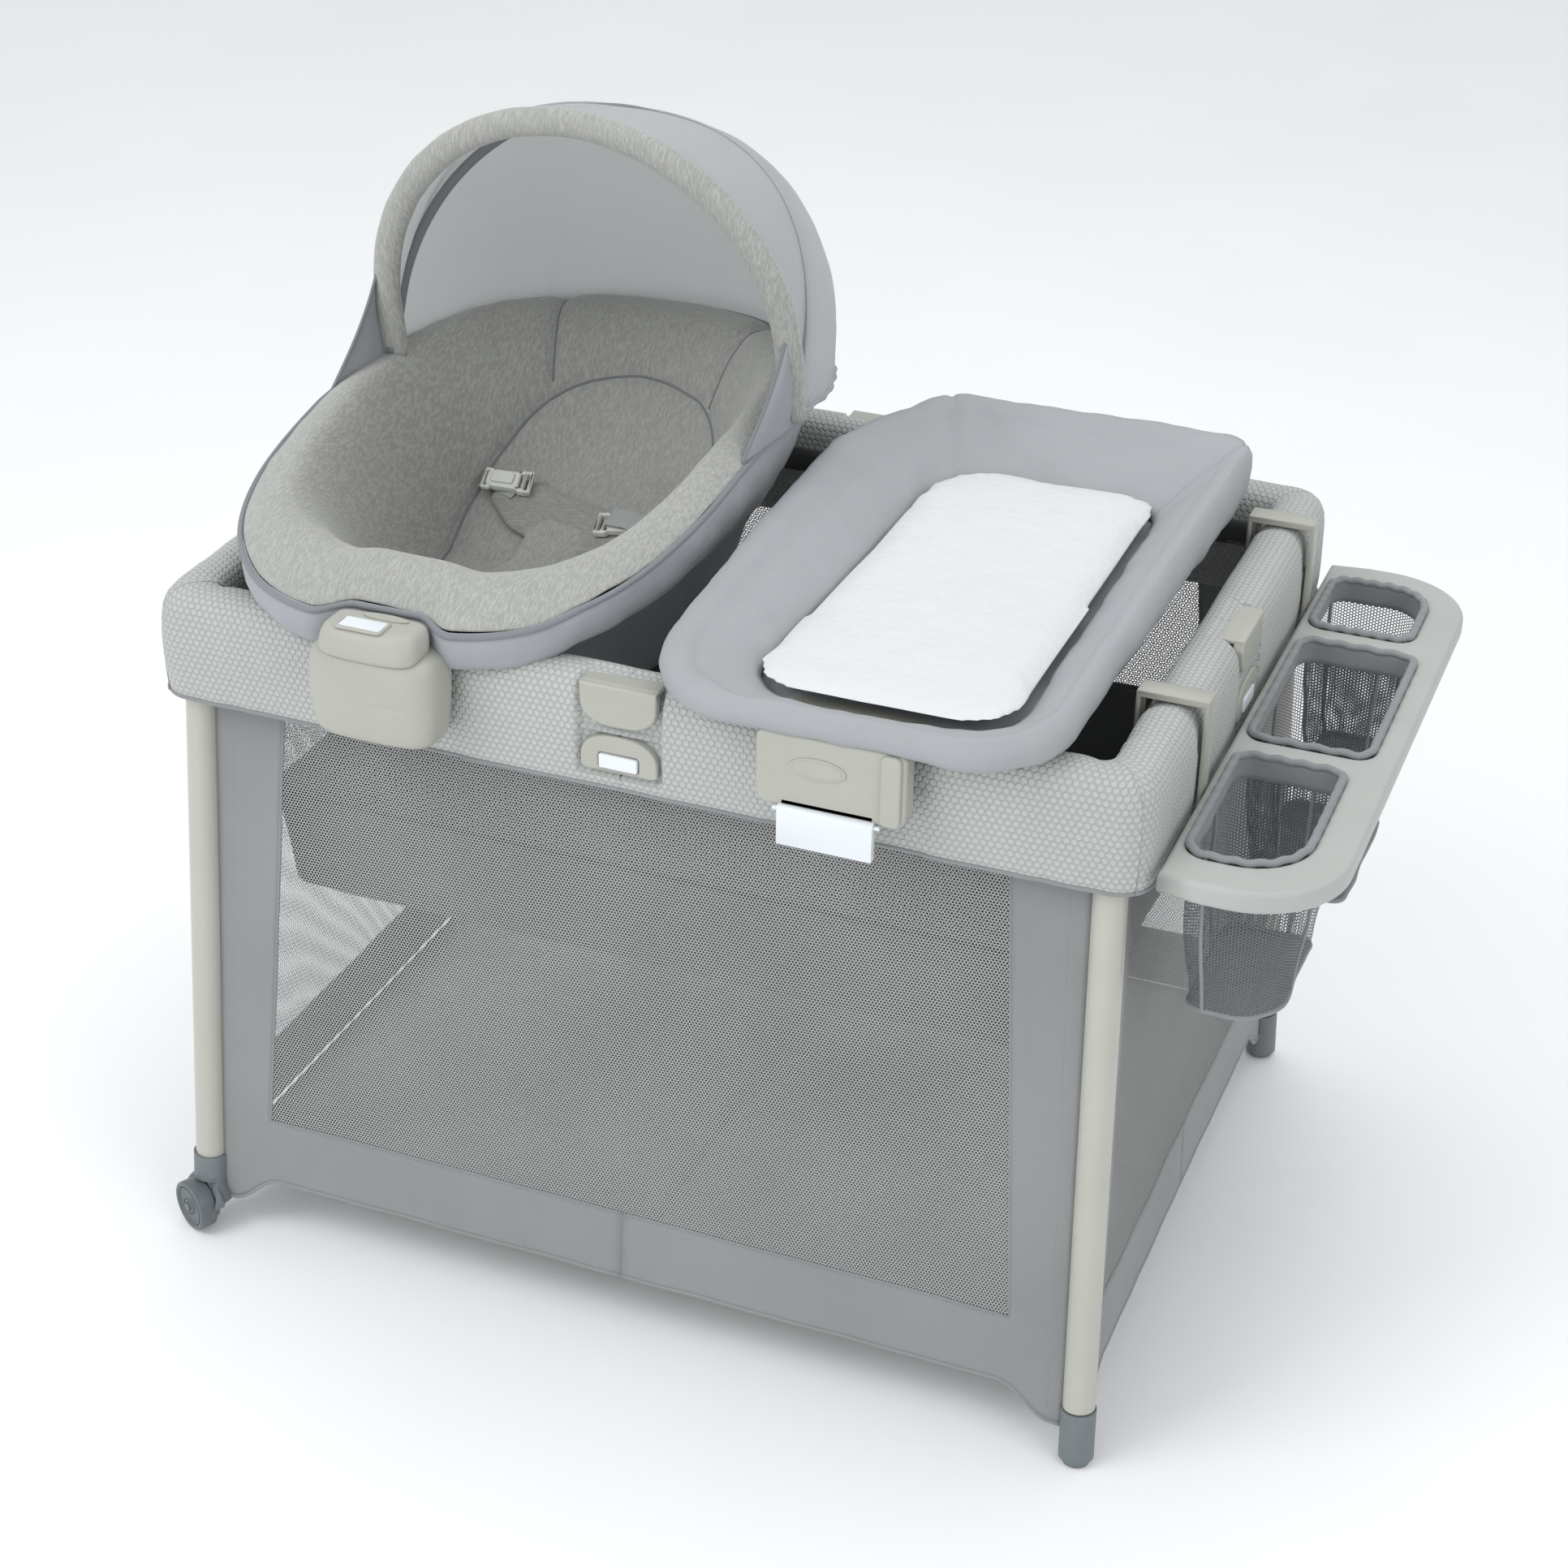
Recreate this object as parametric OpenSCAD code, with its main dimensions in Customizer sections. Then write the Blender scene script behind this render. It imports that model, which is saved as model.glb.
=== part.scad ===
// Folding travel play yard: a four-legged frame with folding top rails, a rising floor hub and fabric
// walls, carrying a hanging bassinet insert, a reclined infant seat with a canopy, a changing tray and
// a side organizer. Millimetres, +Z up, origin on the floor at the centre of the yard, front = -Y.

/* [Frame] */
// Half width of the padded rail cover, left to right
cover_x = 505; // [480:1:530]
// Half depth of the padded rail cover, front to back
cover_y = 357; // [340:1:375]
// Height of the rail cover's top
cover_top = 744; // [720:1:770]
// Height of the rail cover's lower edge
cover_bottom = 628; // [600:1:650]
// Radius of a leg tube
leg_r = 16; // [12:0.5:18]
// Leg axis at the floor, X
leg_bx = 490; // [480:1:495]
// Leg axis at the floor, Y
leg_by = 378; // [370:1:385]
// Leg axis at the top, X
leg_tx = 468; // [464:1:470]
// Leg axis at the top, Y
leg_ty = 330; // [328:1:332]
// Radius of a rail tube
rail_r = 11; // [9:0.5:11]
// Height of a foot
foot_h = 62; // [55:1:70]

/* [Fold] */
// Radius at which the floor arms hinge on the hub
hub_r0 = 110; // [105:1:115]
// Radius of a floor arm tube
arm_r = 9; // [7:0.5:9]
// Height of the floor arm pivots
arm_z = 42; // [40:1:44]
// Height of the rail pivots
piv_z = 727; // [725:0.5:727]
// Drop from the rail pivots to the rail tube's centre line
piv_drop = 13; // [13:0.5:14]
// Distance from a leg's axis to its floor arm pivot
foot_reach = 32; // [30:1:34]

/* [Casters] */
// Caster wheel radius
wheel_r = 28; // [25:1:30]
// Caster wheel width
wheel_w = 20; // [16:1:22]
// Outward turn of a caster from the front
caster_turn = 28; // [0:1:35]

/* [Seat] */
// Seat centre line, X
seat_x = -235; // [-245:1:-230]
// Half width of the seat rim
seat_rx = 230; // [215:1:232]
// Half length of the seat rim
seat_ry = 362; // [350:1:365]
// Forward tilt of the seat rim
seat_tilt = 4.5; // [3:0.1:6]
// Canopy pivot, Y
can_y = 50; // [40:1:60]
// Canopy pivot, Z
can_z = 862; // [855:1:870]
// Half width of the canopy bow
can_w = 243; // [240:1:246]
// Radius of the padded front bow
bow_r = 10; // [8:0.5:10]
// Front lean of the front bow
bow_lean = 8; // [5:1:10]
// Backward lean of the middle bow
mid_lean = 22; // [20:1:26]

/* [Changer] */
// Changer centre line, X
ch_x = 225; // [220:1:230]
// Changer centre, Y
ch_y = -36; // [-40:1:-30]
// Half width of the changer rim
ch_w = 199; // [190:1:199]
// Half length of the changer rim
ch_l = 362; // [350:1:366]

/* [Organizer] */
// Inner edge of the tray, X
tray_x0 = 512; // [511:0.5:516]
// Outer edge of the tray, X
tray_x1 = 668; // [650:1:680]
// Tray top height
tray_z = 660; // [650:1:668]
// Tray thickness
tray_t = 22; // [16:1:26]

/* [Output] */

/* [Hidden] */
$fn = 48;
leg_h = 640;
cover_w = 56;
cover_t = 8;
rail_y = cover_y - cover_w / 2;
rail_x = cover_x - cover_w / 2;
rail_z = piv_z - piv_drop;
function lp(sx, sy, z) = [sx * (leg_bx - (leg_bx - leg_tx) * z / leg_h), sy * (leg_by - (leg_by - leg_ty) * z / leg_h), z];
p42 = lp(1, 1, arm_z);
diag = sqrt(p42[0] * p42[0] + p42[1] * p42[1]);
ux = p42[0] / diag;
uy = p42[1] / diag;
foot_d = diag - foot_reach;
arm_l = foot_d - hub_r0;
px = arm_l * ux;
py = arm_l * uy;
ear_in = 6.3;
ear_out = 9.3;
e = 0.3;

// cylinder between two points
module rod(a, b, r, spin = 0) {
  v = b - a;
  l = norm(v);
  translate(a) rotate([0, acos(v[2] / l), atan2(v[1], v[0])]) rotate([0, 0, spin]) cylinder(h = l, r = r);
}
// box between two corners, in any order
module bx(x0, x1, y0, y1, z0, z1) {
  translate([min(x0, x1), min(y0, y1), min(z0, z1)]) cube([abs(x1 - x0), abs(y1 - y0), abs(z1 - z0)]);
}
// rounded rectangle, half sizes a by b
module rr(a, b, r) {
  hull() for (i = [-1, 1], j = [-1, 1]) translate([i * (a - r), j * (b - r)]) circle(r = r);
}
// places local axes along a floor diagonal
module on_diag(sx, sy) {
  rotate([0, 0, atan2(sy * uy, sx * ux)]) children();
}
// cylinder along local Y, centred
module ycyl(x, z, r, w0, w1) {
  translate([x, w1, z]) rotate([90, 0, 0]) cylinder(h = w1 - w0, r = r);
}

/* soft yard */
module wall_plate(l0, l1, d0, d1) {
  hull() {
    bx(-l0, l0, d0 - 1.5, d0 + 1.5, 76, 77);
    bx(-l1, l1, d1 - 1.5, d1 + 1.5, 626, 627);
  }
}
module yard_walls() color([0.53, 0.54, 0.54]) {
  b = lp(1, 1, 76);
  t = lp(1, 1, 627);
  g = leg_r + 3;
  wall_plate(b[0] - g, t[0] - g, -b[1], -t[1]);
  wall_plate(b[0] - g, t[0] - g, b[1], t[1]);
  rotate([0, 0, 90]) wall_plate(b[1] - g, t[1] - g, -b[0], -t[0]);
  rotate([0, 0, 90]) wall_plate(b[1] - g, t[1] - g, b[0], t[0]);
}
module yard_floor() color([0.5, 0.51, 0.51])
  translate([0, 0, 71]) linear_extrude(3) rr(466, 352, 40);
module latch_windows() {
  for (k = [0:3]) {
    o = k % 2 == 0 ? rail_y : rail_x;
    rotate([0, 0, 90 * k]) {
      bx(-42, 42, -o - 18, -o - 40, 697, 760);
      bx(-42, 42, -o - 18, -o - 40, 649, 691);
    }
  }
}
module rail_covers() color([0.73, 0.75, 0.73])
  difference() {
    translate([0, 0, cover_bottom]) linear_extrude(cover_top - cover_bottom) difference() {
      rr(cover_x, cover_y, 34);
      rr(cover_x - cover_w, cover_y - cover_w, 12);
    }
    translate([0, 0, cover_bottom - 1]) linear_extrude(cover_top - cover_bottom - cover_t + 1) difference() {
      rr(cover_x - cover_t, cover_y - cover_t, 26);
      rr(cover_x - cover_w + cover_t, cover_y - cover_w + cover_t, 20);
    }
    latch_windows();
  }

/* legs */
module leg_tube(sx, sy) color([0.71, 0.71, 0.67])
  rod(lp(sx, sy, foot_h + 2), lp(sx, sy, 638), leg_r);
module corner_bracket(sx, sy) color([0.71, 0.71, 0.67]) {
  translate([sx * leg_tx, sy * leg_ty, 640.5]) cylinder(h = 95, r = 16);
  bx(sx * (px + 31), sx * leg_tx, sy * (rail_y - 15.5), sy * (rail_y + 15.5), 692, 735.5);
  for (k = [-1, 1]) {
    bx(sx * px, sx * (px + 33), sy * rail_y + k * 11.5, sy * rail_y + k * 15.5, 719.5, 734.5);
    translate([sx * px, sy * rail_y + k * 13.5 + 2, piv_z]) rotate([90, 0, 0]) cylinder(h = 4, r = 7.5);
  }
  translate([sx * px, sy * rail_y + 15.5, piv_z]) rotate([90, 0, 0]) cylinder(h = 31, r = 4);
  bx(sx * (rail_x - 15.5), sx * (rail_x + 15.5), sy * (py + 31), sy * leg_ty, 692, 735.5);
  for (k = [-1, 1]) {
    bx(sx * rail_x + k * 11.5, sx * rail_x + k * 15.5, sy * py, sy * (py + 33), 719.5, 734.5);
    translate([sx * rail_x + k * 13.5 - 2, sy * py, piv_z]) rotate([0, 90, 0]) cylinder(h = 4, r = 7.5);
  }
  translate([sx * rail_x - 15.5, sy * py, piv_z]) rotate([0, 90, 0]) cylinder(h = 31, r = 4);
}
module foot_clevis(d1) {
  for (k = [-1, 1]) {
    bx(foot_d, d1, k * ear_in, k * ear_out, arm_z - 8.5, arm_z + 8.5);
    ycyl(foot_d, arm_z, 9, k * (ear_in + 1.5) - 1.5, k * (ear_in + 1.5) + 1.5);
  }
  ycyl(foot_d, arm_z, 3, -ear_out + 1, ear_out - 1);
}
module foot(sx, sy) color([0.43, 0.46, 0.47]) {
  translate([sx * leg_bx, sy * leg_by, 0]) cylinder(h = 20, r = 13.5);
  rod(lp(sx, sy, 6), lp(sx, sy, foot_h), 17.5, 40);
  on_diag(sx, sy) foot_clevis(foot_d + foot_reach - 3);
}
module on_caster(sx, sy) {
  translate([sx * leg_bx, sy * leg_by, wheel_r])
    rotate([0, 0, (sy < 0 ? 0 : 180) - sx * sy * caster_turn]) children();
}
module caster_housing(sx, sy) color([0.43, 0.46, 0.47]) {
  difference() {
    rod(lp(sx, sy, 58), lp(sx, sy, 88), 18.6);
    rod(lp(sx, sy, 63.7), lp(sx, sy, 90), leg_r + 0.4);
  }
  on_caster(sx, sy) {
    // backing disc and axle
    translate([0, -1, 0]) rotate([90, 0, 0]) cylinder(h = 5, r = 22);
    translate([0, -1, 0]) rotate([90, 0, 0]) cylinder(h = wheel_w + 8, r = 4);
    bx(-14, 14, -1, -6, 0, 32);
    // hood over the wheel
    difference() {
      union() {
        translate([0, 7, 0]) rotate([90, 0, 0]) cylinder(h = 8, r1 = wheel_r - 6, r2 = wheel_r + 5);
        translate([0, -1, 0]) rotate([90, 0, 0]) cylinder(h = wheel_w + 8, r = wheel_r + 5);
        translate([0, 0, 6]) cylinder(h = 28, r1 = 27, r2 = 18.2);
      }
      translate([0, -6.2, 0]) rotate([90, 0, 0]) cylinder(h = wheel_w + 40, r = wheel_r + 2);
      bx(-60, 60, 30, -60, -60, 6);
      translate([0, -14, 0]) rotate([-24, 0, 0]) bx(-60, 60, 0, -60, -60, 34);
    }
  }
  on_diag(sx, sy) foot_clevis(foot_d + foot_reach - 14);
  on_diag(sx, sy) bx(foot_d + 15, foot_d + foot_reach - 4, -ear_out, ear_out, arm_z - 9, arm_z + 9);
  rod(lp(sx, sy, 38), lp(sx, sy, 60), 9.5);
}
module caster_wheel(sx, sy) color([0.36, 0.38, 0.39])
  on_caster(sx, sy) difference() {
    translate([0, -7, 0]) rotate([90, 0, 0]) cylinder(h = wheel_w, r = wheel_r);
    translate([0, -5, 0]) rotate([90, 0, 0]) cylinder(h = wheel_w + 6, r = 4.08);
    translate([0, -7 - wheel_w + 2, 0]) rotate([90, 0, 0]) difference() {
      cylinder(h = 3, r = 22);
      cylinder(h = 3, r = 9);
    }
  }

/* floor hub and arms */
module floor_arm(sx, sy) color([0.55, 0.56, 0.56])
  on_diag(sx, sy) difference() {
    union() {
      rod([hub_r0 + 12, 0, arm_z], [foot_d - 12, 0, arm_z], arm_r);
      for (d = [hub_r0, foot_d]) ycyl(d, arm_z, 8, -6, 6);
      bx(hub_r0, hub_r0 + 20, -6, 6, arm_z - 8, arm_z + 8);
      bx(foot_d - 20, foot_d, -6, 6, arm_z - 8, arm_z + 8);
    }
    for (d = [hub_r0, foot_d]) ycyl(d, arm_z, 3.06, -7, 7);
  }
module hub_housing() color([0.43, 0.46, 0.47]) {
  cylinder(h = 22, r = 24);
  translate([0, 0, 20]) cylinder(h = 42, r = 52);
  for (sx = [-1, 1], sy = [-1, 1]) on_diag(sx, sy) {
    bx(0, hub_r0 - 12, -ear_out, ear_out, arm_z - 9, arm_z + 9);
    for (k = [-1, 1]) {
      bx(hub_r0 - 14, hub_r0, k * ear_in, k * ear_out, arm_z - 9, arm_z + 9);
      ycyl(hub_r0, arm_z, 9, k * (ear_in + 1.5) - 1.5, k * (ear_in + 1.5) + 1.5);
    }
    ycyl(hub_r0, arm_z, 3, -ear_out, ear_out);
  }
}

/* top rails: drawn along local X from the mid pivot (0) to the corner pivot (l) */
module half_rail(l, side) {
  w0 = side > 0 ? 0.5 : -11;
  w1 = side > 0 ? 11 : -0.5;
  difference() {
    union() {
      rod([8.5, 0, rail_z], [l - 4, 0, rail_z], rail_r);
      ycyl(l, piv_z, 7.5, -11, 11);
      bx(l - 20, l, -7, 7, rail_z, piv_z);
      ycyl(0, piv_z, 7.5, w0, w1);
      bx(0, 20, w0 + (side > 0 ? 0 : 1), w1 - (side > 0 ? 1 : 0), rail_z, piv_z);
    }
    ycyl(l, piv_z, 4.06, -12, 12);
    ycyl(0, piv_z, side > 0 ? 4.06 : 4.4, -12, 12);
  }
}
// k: 0 front, 1 right, 2 back, 3 left; dir: +1 or -1 along the rail's own X
module on_rail(k) {
  rotate([0, 0, 90 * k]) translate([0, k % 2 == 0 ? -rail_y : -rail_x, 0]) children();
}
module rail_half(k, dir) color([0.71, 0.71, 0.67])
  on_rail(k) if (dir > 0) half_rail(k % 2 == 0 ? px : py, 1);
    else rotate([0, 0, 180]) half_rail(k % 2 == 0 ? px : py, 1);
module latch(k) color([0.71, 0.71, 0.67])
  on_rail(k) difference() {
    union() {
      bx(-38, 38, -11.5, -19.5, 651, 735.3);
      bx(-40, 40, -19, -29.5, 699, 741);
      bx(-40, 40, -19, -29.5, 651, 689);
      bx(-25, 25, 11.5, 15.5, 690, 735.3);
      bx(-30, 30, -19, 15.5, 690, 702.4);
      ycyl(0, piv_z, 4, -19.5, 15.5);
    }
    bx(-20, 20, -13, -40, 656, 671);
  }
module release(k) color([0.93, 0.94, 0.95])
  on_rail(k) bx(-19.6, 19.6, -20, -31.5, 656.4, 670.6);

/* bassinet insert */
module bassinet_shell() color([0.5, 0.51, 0.51])
  difference() {
    hull() {
      translate([0, 0, 706]) linear_extrude(4) rr(446, 298, 14);
      translate([0, 0, 380]) linear_extrude(2) rr(426, 278, 30);
    }
    hull() {
      translate([0, 0, 712]) linear_extrude(2) rr(443.2, 295.2, 12);
      translate([0, 0, 384]) linear_extrude(2) rr(423, 275, 28);
    }
  }
module mattress_pad() color([0.62, 0.63, 0.63])
  translate([0, 0, 386]) linear_extrude(20) rr(420, 271, 30);

/* seat */
module el(rx, ry, h = 1) { scale([rx / 100, ry / 100, 1]) cylinder(h = h, r = 100, $fn = 40); }
module bucket(d, up = 0) {
  translate([seat_x, 0, 0]) {
    hull() {
      translate([0, -15, 812]) rotate([seat_tilt, 0, 0]) el(seat_rx - d, seat_ry - d, 4 + up);
      translate([0, -12, 755 + d]) el(seat_rx - 12 - d, seat_ry - 32 - d, 1);
    }
    hull() {
      translate([0, -4, 756 + d]) el(207 - d, 276 - d, 2 + d);
      translate([0, -25, 602 + d]) el(150 - d, 200 - d, 1);
    }
  }
}
module seat_shell() color([0.6, 0.62, 0.64])
  difference() { bucket(0); bucket(4, 6); }
module seat_pad() color([0.66, 0.67, 0.65])
  difference() { bucket(4.5); bucket(24, 30); }
module seat_harness() color([0.6, 0.61, 0.6]) {
  bx(seat_x - 70, seat_x + 70, 0, 38, 629.5, 635.5);
  bx(seat_x - 20, seat_x + 20, -90, 0, 629.5, 635.5);
}
module harness_buckles() color([0.86, 0.87, 0.84])
  for (k = [-1, 1]) bx(seat_x + k * 36, seat_x + k * 66, 8, 30, 636, 646);
// hook over a cover: s = -1 front, +1 back
module hook_u(x0, x1, s) {
  bx(x0, x1, s * (cover_y - 62), s * (cover_y + 12), 745, 753.5);
  bx(x0, x1, s * (cover_y + 2), s * (cover_y + 12), 690, 753.5);
  bx(x0, x1, s * (cover_y - 65), s * (cover_y - 58), 714, 753.5);
}
module pod_block(x0, x1, y0, y1, z0, z1, r) {
  translate([0, 0, z0]) linear_extrude(z1 - z0) union() {
    translate([x0 + r, y1 + r]) circle(r = r);
    translate([x1 - r, y1 + r]) circle(r = r);
    translate([x0 + r, y1]) square([x1 - x0 - 2 * r, y0 - y1]);
    translate([x0, y1 + r]) square([x1 - x0, y0 - y1 - r]);
  }
}
module pod_housing() color([0.71, 0.71, 0.67]) {
  hook_u(seat_x - 55, seat_x + 60, -1);
  pod_block(seat_x - 65, seat_x + 69, -cover_y - 2, -418, 660, 749, 24);
}
module pod_lid() color([0.72, 0.72, 0.68])
  difference() {
    pod_block(seat_x - 52, seat_x + 42, -381, -415, 749.5, 776, 14);
    bx(seat_x - 26, seat_x + 18, -388, -408, 770, 780);
  }
module pod_button() color([0.93, 0.94, 0.95])
  bx(seat_x - 25.5, seat_x + 17.5, -388.5, -407.5, 773, 779);
module seat_rear_hook() color([0.71, 0.71, 0.67]) hook_u(seat_x - 40, seat_x + 40, 1);

/* canopy: bows stand in a plane through the pivot axis, leaning by a */
module on_bow(a) { translate([seat_x, can_y, can_z]) rotate([-a, 0, 0]) children(); }
module bow(w, s, r, z0) {
  for (k = [-1, 1]) translate([k * w, 0, z0]) cylinder(h = s - z0, r = r);
  translate([0, 0, s]) rotate([90, 0, 0]) rotate_extrude(angle = 180) translate([w, 0]) circle(r = r);
}
module canopy_front_bow() color([0.66, 0.67, 0.65])
  on_bow(-bow_lean) {
    bow(can_w, 52, bow_r, 6);
    for (k = [-1, 1]) translate([k * (can_w - 4) - 6, 0, 0]) rotate([0, 90, 0]) cylinder(h = 12, r = 15);
  }
module canopy_mid_bow() color([0.5, 0.52, 0.54])
  on_bow(mid_lean) {
    bow(can_w, 44, 3.5, 36);
    for (k = [-1, 1]) {
      translate([k * (can_w + 13.5) - 2, 0, 0]) rotate([0, 90, 0]) cylinder(h = 4, r = 10);
      bx(k * (can_w + 11.5), k * (can_w + 15.5), -5, 5, 0, 38);
      bx(k * (can_w - 2), k * (can_w + 15.5), -3.5, 3.5, 34, 39);
    }
  }
module canopy_fabric() color([0.78, 0.79, 0.8])
  translate([seat_x, can_y, can_z]) intersection() {
    difference() {
      scale([259, 328, 308] / 100) sphere(r = 100, $fn = 56);
      scale([256, 325, 305] / 100) sphere(r = 100, $fn = 56);
      rotate([bow_lean, 0, 0]) translate([-400, -800 + 13, -400]) cube([800, 800, 1000]);
    }
    translate([-400, -100, 46]) cube([800, 600, 400]);
  }

/* changer */
module tub(d, up = 0) {
  translate([ch_x, ch_y, 0]) hull() {
    translate([0, 0, 794 + up]) rotate([1.5, 0, 0]) linear_extrude(4) rr(ch_w - d, ch_l - d, 60);
    translate([0, 8, 755 + d]) linear_extrude(1) rr(172 - d, 310 - d, 50);
  }
}
module changer_shell() color([0.67, 0.69, 0.7]) difference() { tub(0); tub(6, 8); }
module changer_pad() color([0.91, 0.92, 0.92])
  translate([ch_x, ch_y + 8, 762]) linear_extrude(11) rr(158, 294, 52);
module changer_mount() color([0.71, 0.71, 0.67]) {
  hook_u(ch_x - 60, ch_x + 60, -1);
  difference() {
    union() {
      difference() {
        pod_block(ch_x - 73, ch_x + 70, -cover_y - 2, -396, 676, 753.5, 10);
        bx(ch_x - 50.5, ch_x + 42.5, -380, -420, 670, 687);
      }
      for (k = [-1, 1]) bx(ch_x - 4 + k * 46, ch_x - 4 + k * 52, -384, -404, 664, 690);
    }
    translate([ch_x - 4 - 51.5, -397, 676]) rotate([0, 90, 0]) cylinder(h = 103, r = 2.06);
  }
}
module changer_lever() color([0.93, 0.94, 0.95]) {
  translate([ch_x - 4 - 45.5, -397, 676]) rotate([0, 90, 0]) cylinder(h = 91, r = 5);
  translate([ch_x - 4 - 51, -397, 676]) rotate([0, 90, 0]) cylinder(h = 102, r = 2);
  bx(ch_x - 4 - 45.5, ch_x - 4 + 45.5, -394, -402, 642, 676);
}
module changer_rear_hook() color([0.71, 0.71, 0.67]) hook_u(ch_x - 40, ch_x + 40, 1);

/* organizer */
module tray_hole(i, g) {
  x0 = tray_x0 + 12;
  if (i == 0) translate([x0 - g, -305 - g]) offset(r = 12) offset(delta = -12) square([104 + 2 * g, 200 + 2 * g]);
  if (i == 1) translate([x0 - g, -72 - g]) offset(r = 12) offset(delta = -12) square([118 + 2 * g, 228 + 2 * g]);
  if (i == 2) translate([x0 - g, 188 - g]) offset(r = 12) offset(delta = -12) square([104 + 2 * g, 122 + 2 * g]);
}
module organizer_tray() color([0.66, 0.67, 0.65])
  translate([0, 0, tray_z - tray_t]) linear_extrude(tray_t) difference() {
    hull() {
      translate([tray_x0, -345]) square([40, 690]);
      for (s = [-1, 1]) translate([tray_x1 - 70, s * 282]) circle(r = 70);
      for (s = [-1, 1]) translate([tray_x0 + 20, s * 338]) circle(r = 14);
    }
    for (i = [0:2]) tray_hole(i, 0);
  }
module organizer_hooks() color([0.71, 0.71, 0.67])
  for (y = [-180, 240]) {
    bx(cover_x + 2.5, cover_x + 6.5, y - 12, y + 12, tray_z - tray_t, 752);
    bx(cover_x - 62, cover_x + 6.5, y - 12, y + 12, 745, 752);
    bx(cover_x - 62, cover_x - 58, y - 12, y + 12, 714, 752);
  }
module organizer_baskets() color([0.43, 0.44, 0.45])
  for (i = [0:2]) {
    yc = [-205, 42, 249][i];
    l = [99, 113, 60][i];
    w = [51, 58, 51][i];
    xc = tray_x0 + 12 + w + 1;
    difference() {
      union() {
        translate([xc, yc, tray_z + 0.4]) linear_extrude(2) rr(w + 4, l + 4, 12);
        hull() {
          translate([xc, yc, tray_z]) linear_extrude(1) rr(w, l, 10);
          translate([xc - 6, yc, 478]) linear_extrude(1) rr(w - 16, l - 14, 10);
        }
      }
      hull() {
        translate([xc, yc, tray_z + 8]) linear_extrude(1) rr(w - 2.2, l - 2.2, 8);
        translate([xc - 6, yc, 481]) linear_extrude(1) rr(w - 18.4, l - 16.4, 8);
      }
    }
  }

yard_walls();
yard_floor();
rail_covers();
leg_tube(-1, -1);  // leg_tube_fl
leg_tube(1, -1);  // leg_tube_fr
leg_tube(-1, 1);  // leg_tube_bl
leg_tube(1, 1);  // leg_tube_br
corner_bracket(-1, -1);  // corner_bracket_fl
corner_bracket(1, -1);  // corner_bracket_fr
corner_bracket(-1, 1);  // corner_bracket_bl
corner_bracket(1, 1);  // corner_bracket_br
foot(1, -1);  // foot_fr
foot(1, 1);  // foot_br
caster_housing(-1, -1);  // caster_housing_fl
caster_housing(-1, 1);  // caster_housing_bl
caster_wheel(-1, -1);  // caster_wheel_fl
caster_wheel(-1, 1);  // caster_wheel_bl
floor_arm(-1, -1);  // floor_arm_fl
floor_arm(1, -1);  // floor_arm_fr
floor_arm(-1, 1);  // floor_arm_bl
floor_arm(1, 1);  // floor_arm_br
hub_housing();
rail_half(0, -1);  // half_rail_front_l
rail_half(0, 1);  // half_rail_front_r
rail_half(2, 1);  // half_rail_back_l
rail_half(2, -1);  // half_rail_back_r
rail_half(3, 1);  // half_rail_left_f
rail_half(3, -1);  // half_rail_left_b
rail_half(1, -1);  // half_rail_right_f
rail_half(1, 1);  // half_rail_right_b
latch(0);  // latch_front
latch(2);  // latch_back
latch(3);  // latch_left
latch(1);  // latch_right
release(0);  // release_front
release(2);  // release_back
release(3);  // release_left
release(1);  // release_right
bassinet_shell();
mattress_pad();
seat_shell();
seat_pad();
seat_harness();
harness_buckles();
pod_housing();
pod_lid();
pod_button();
seat_rear_hook();
canopy_front_bow();
canopy_mid_bow();
canopy_fabric();
changer_shell();
changer_pad();
changer_mount();
changer_lever();
changer_rear_hook();
organizer_tray();
organizer_hooks();
organizer_baskets();
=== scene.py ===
import bpy, bmesh, math
import numpy as np
from mathutils import Vector, Matrix, noise


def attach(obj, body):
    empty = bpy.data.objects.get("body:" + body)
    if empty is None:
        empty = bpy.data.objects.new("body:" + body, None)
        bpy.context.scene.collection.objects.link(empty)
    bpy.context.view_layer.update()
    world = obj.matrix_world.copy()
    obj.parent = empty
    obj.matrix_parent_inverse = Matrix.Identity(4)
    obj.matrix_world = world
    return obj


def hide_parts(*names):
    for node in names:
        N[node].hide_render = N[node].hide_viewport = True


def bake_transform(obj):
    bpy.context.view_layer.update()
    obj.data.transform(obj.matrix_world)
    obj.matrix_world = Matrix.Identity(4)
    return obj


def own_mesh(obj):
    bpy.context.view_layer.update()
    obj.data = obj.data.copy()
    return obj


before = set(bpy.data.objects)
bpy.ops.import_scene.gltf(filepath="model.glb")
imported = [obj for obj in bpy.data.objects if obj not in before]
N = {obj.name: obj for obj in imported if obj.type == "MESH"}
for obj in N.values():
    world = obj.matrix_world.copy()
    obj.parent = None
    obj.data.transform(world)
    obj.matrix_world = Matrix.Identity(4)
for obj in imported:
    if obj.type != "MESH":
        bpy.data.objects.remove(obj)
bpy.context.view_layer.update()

sc = bpy.context.scene
sc.view_settings.view_transform = "Standard"


# ------------------------------------------------------------------ materials
def lin(h):
    c = [int(h[i:i + 2], 16) / 255 for i in (0, 2, 4)]
    return tuple(((x + 0.055) / 1.055) ** 2.4 if x > 0.04045 else x / 12.92 for x in c) + (1.0,)


def shade(h, k):
    c = lin(h)
    return tuple(min(1.0, x * k) for x in c[:3]) + (1.0,)


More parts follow.
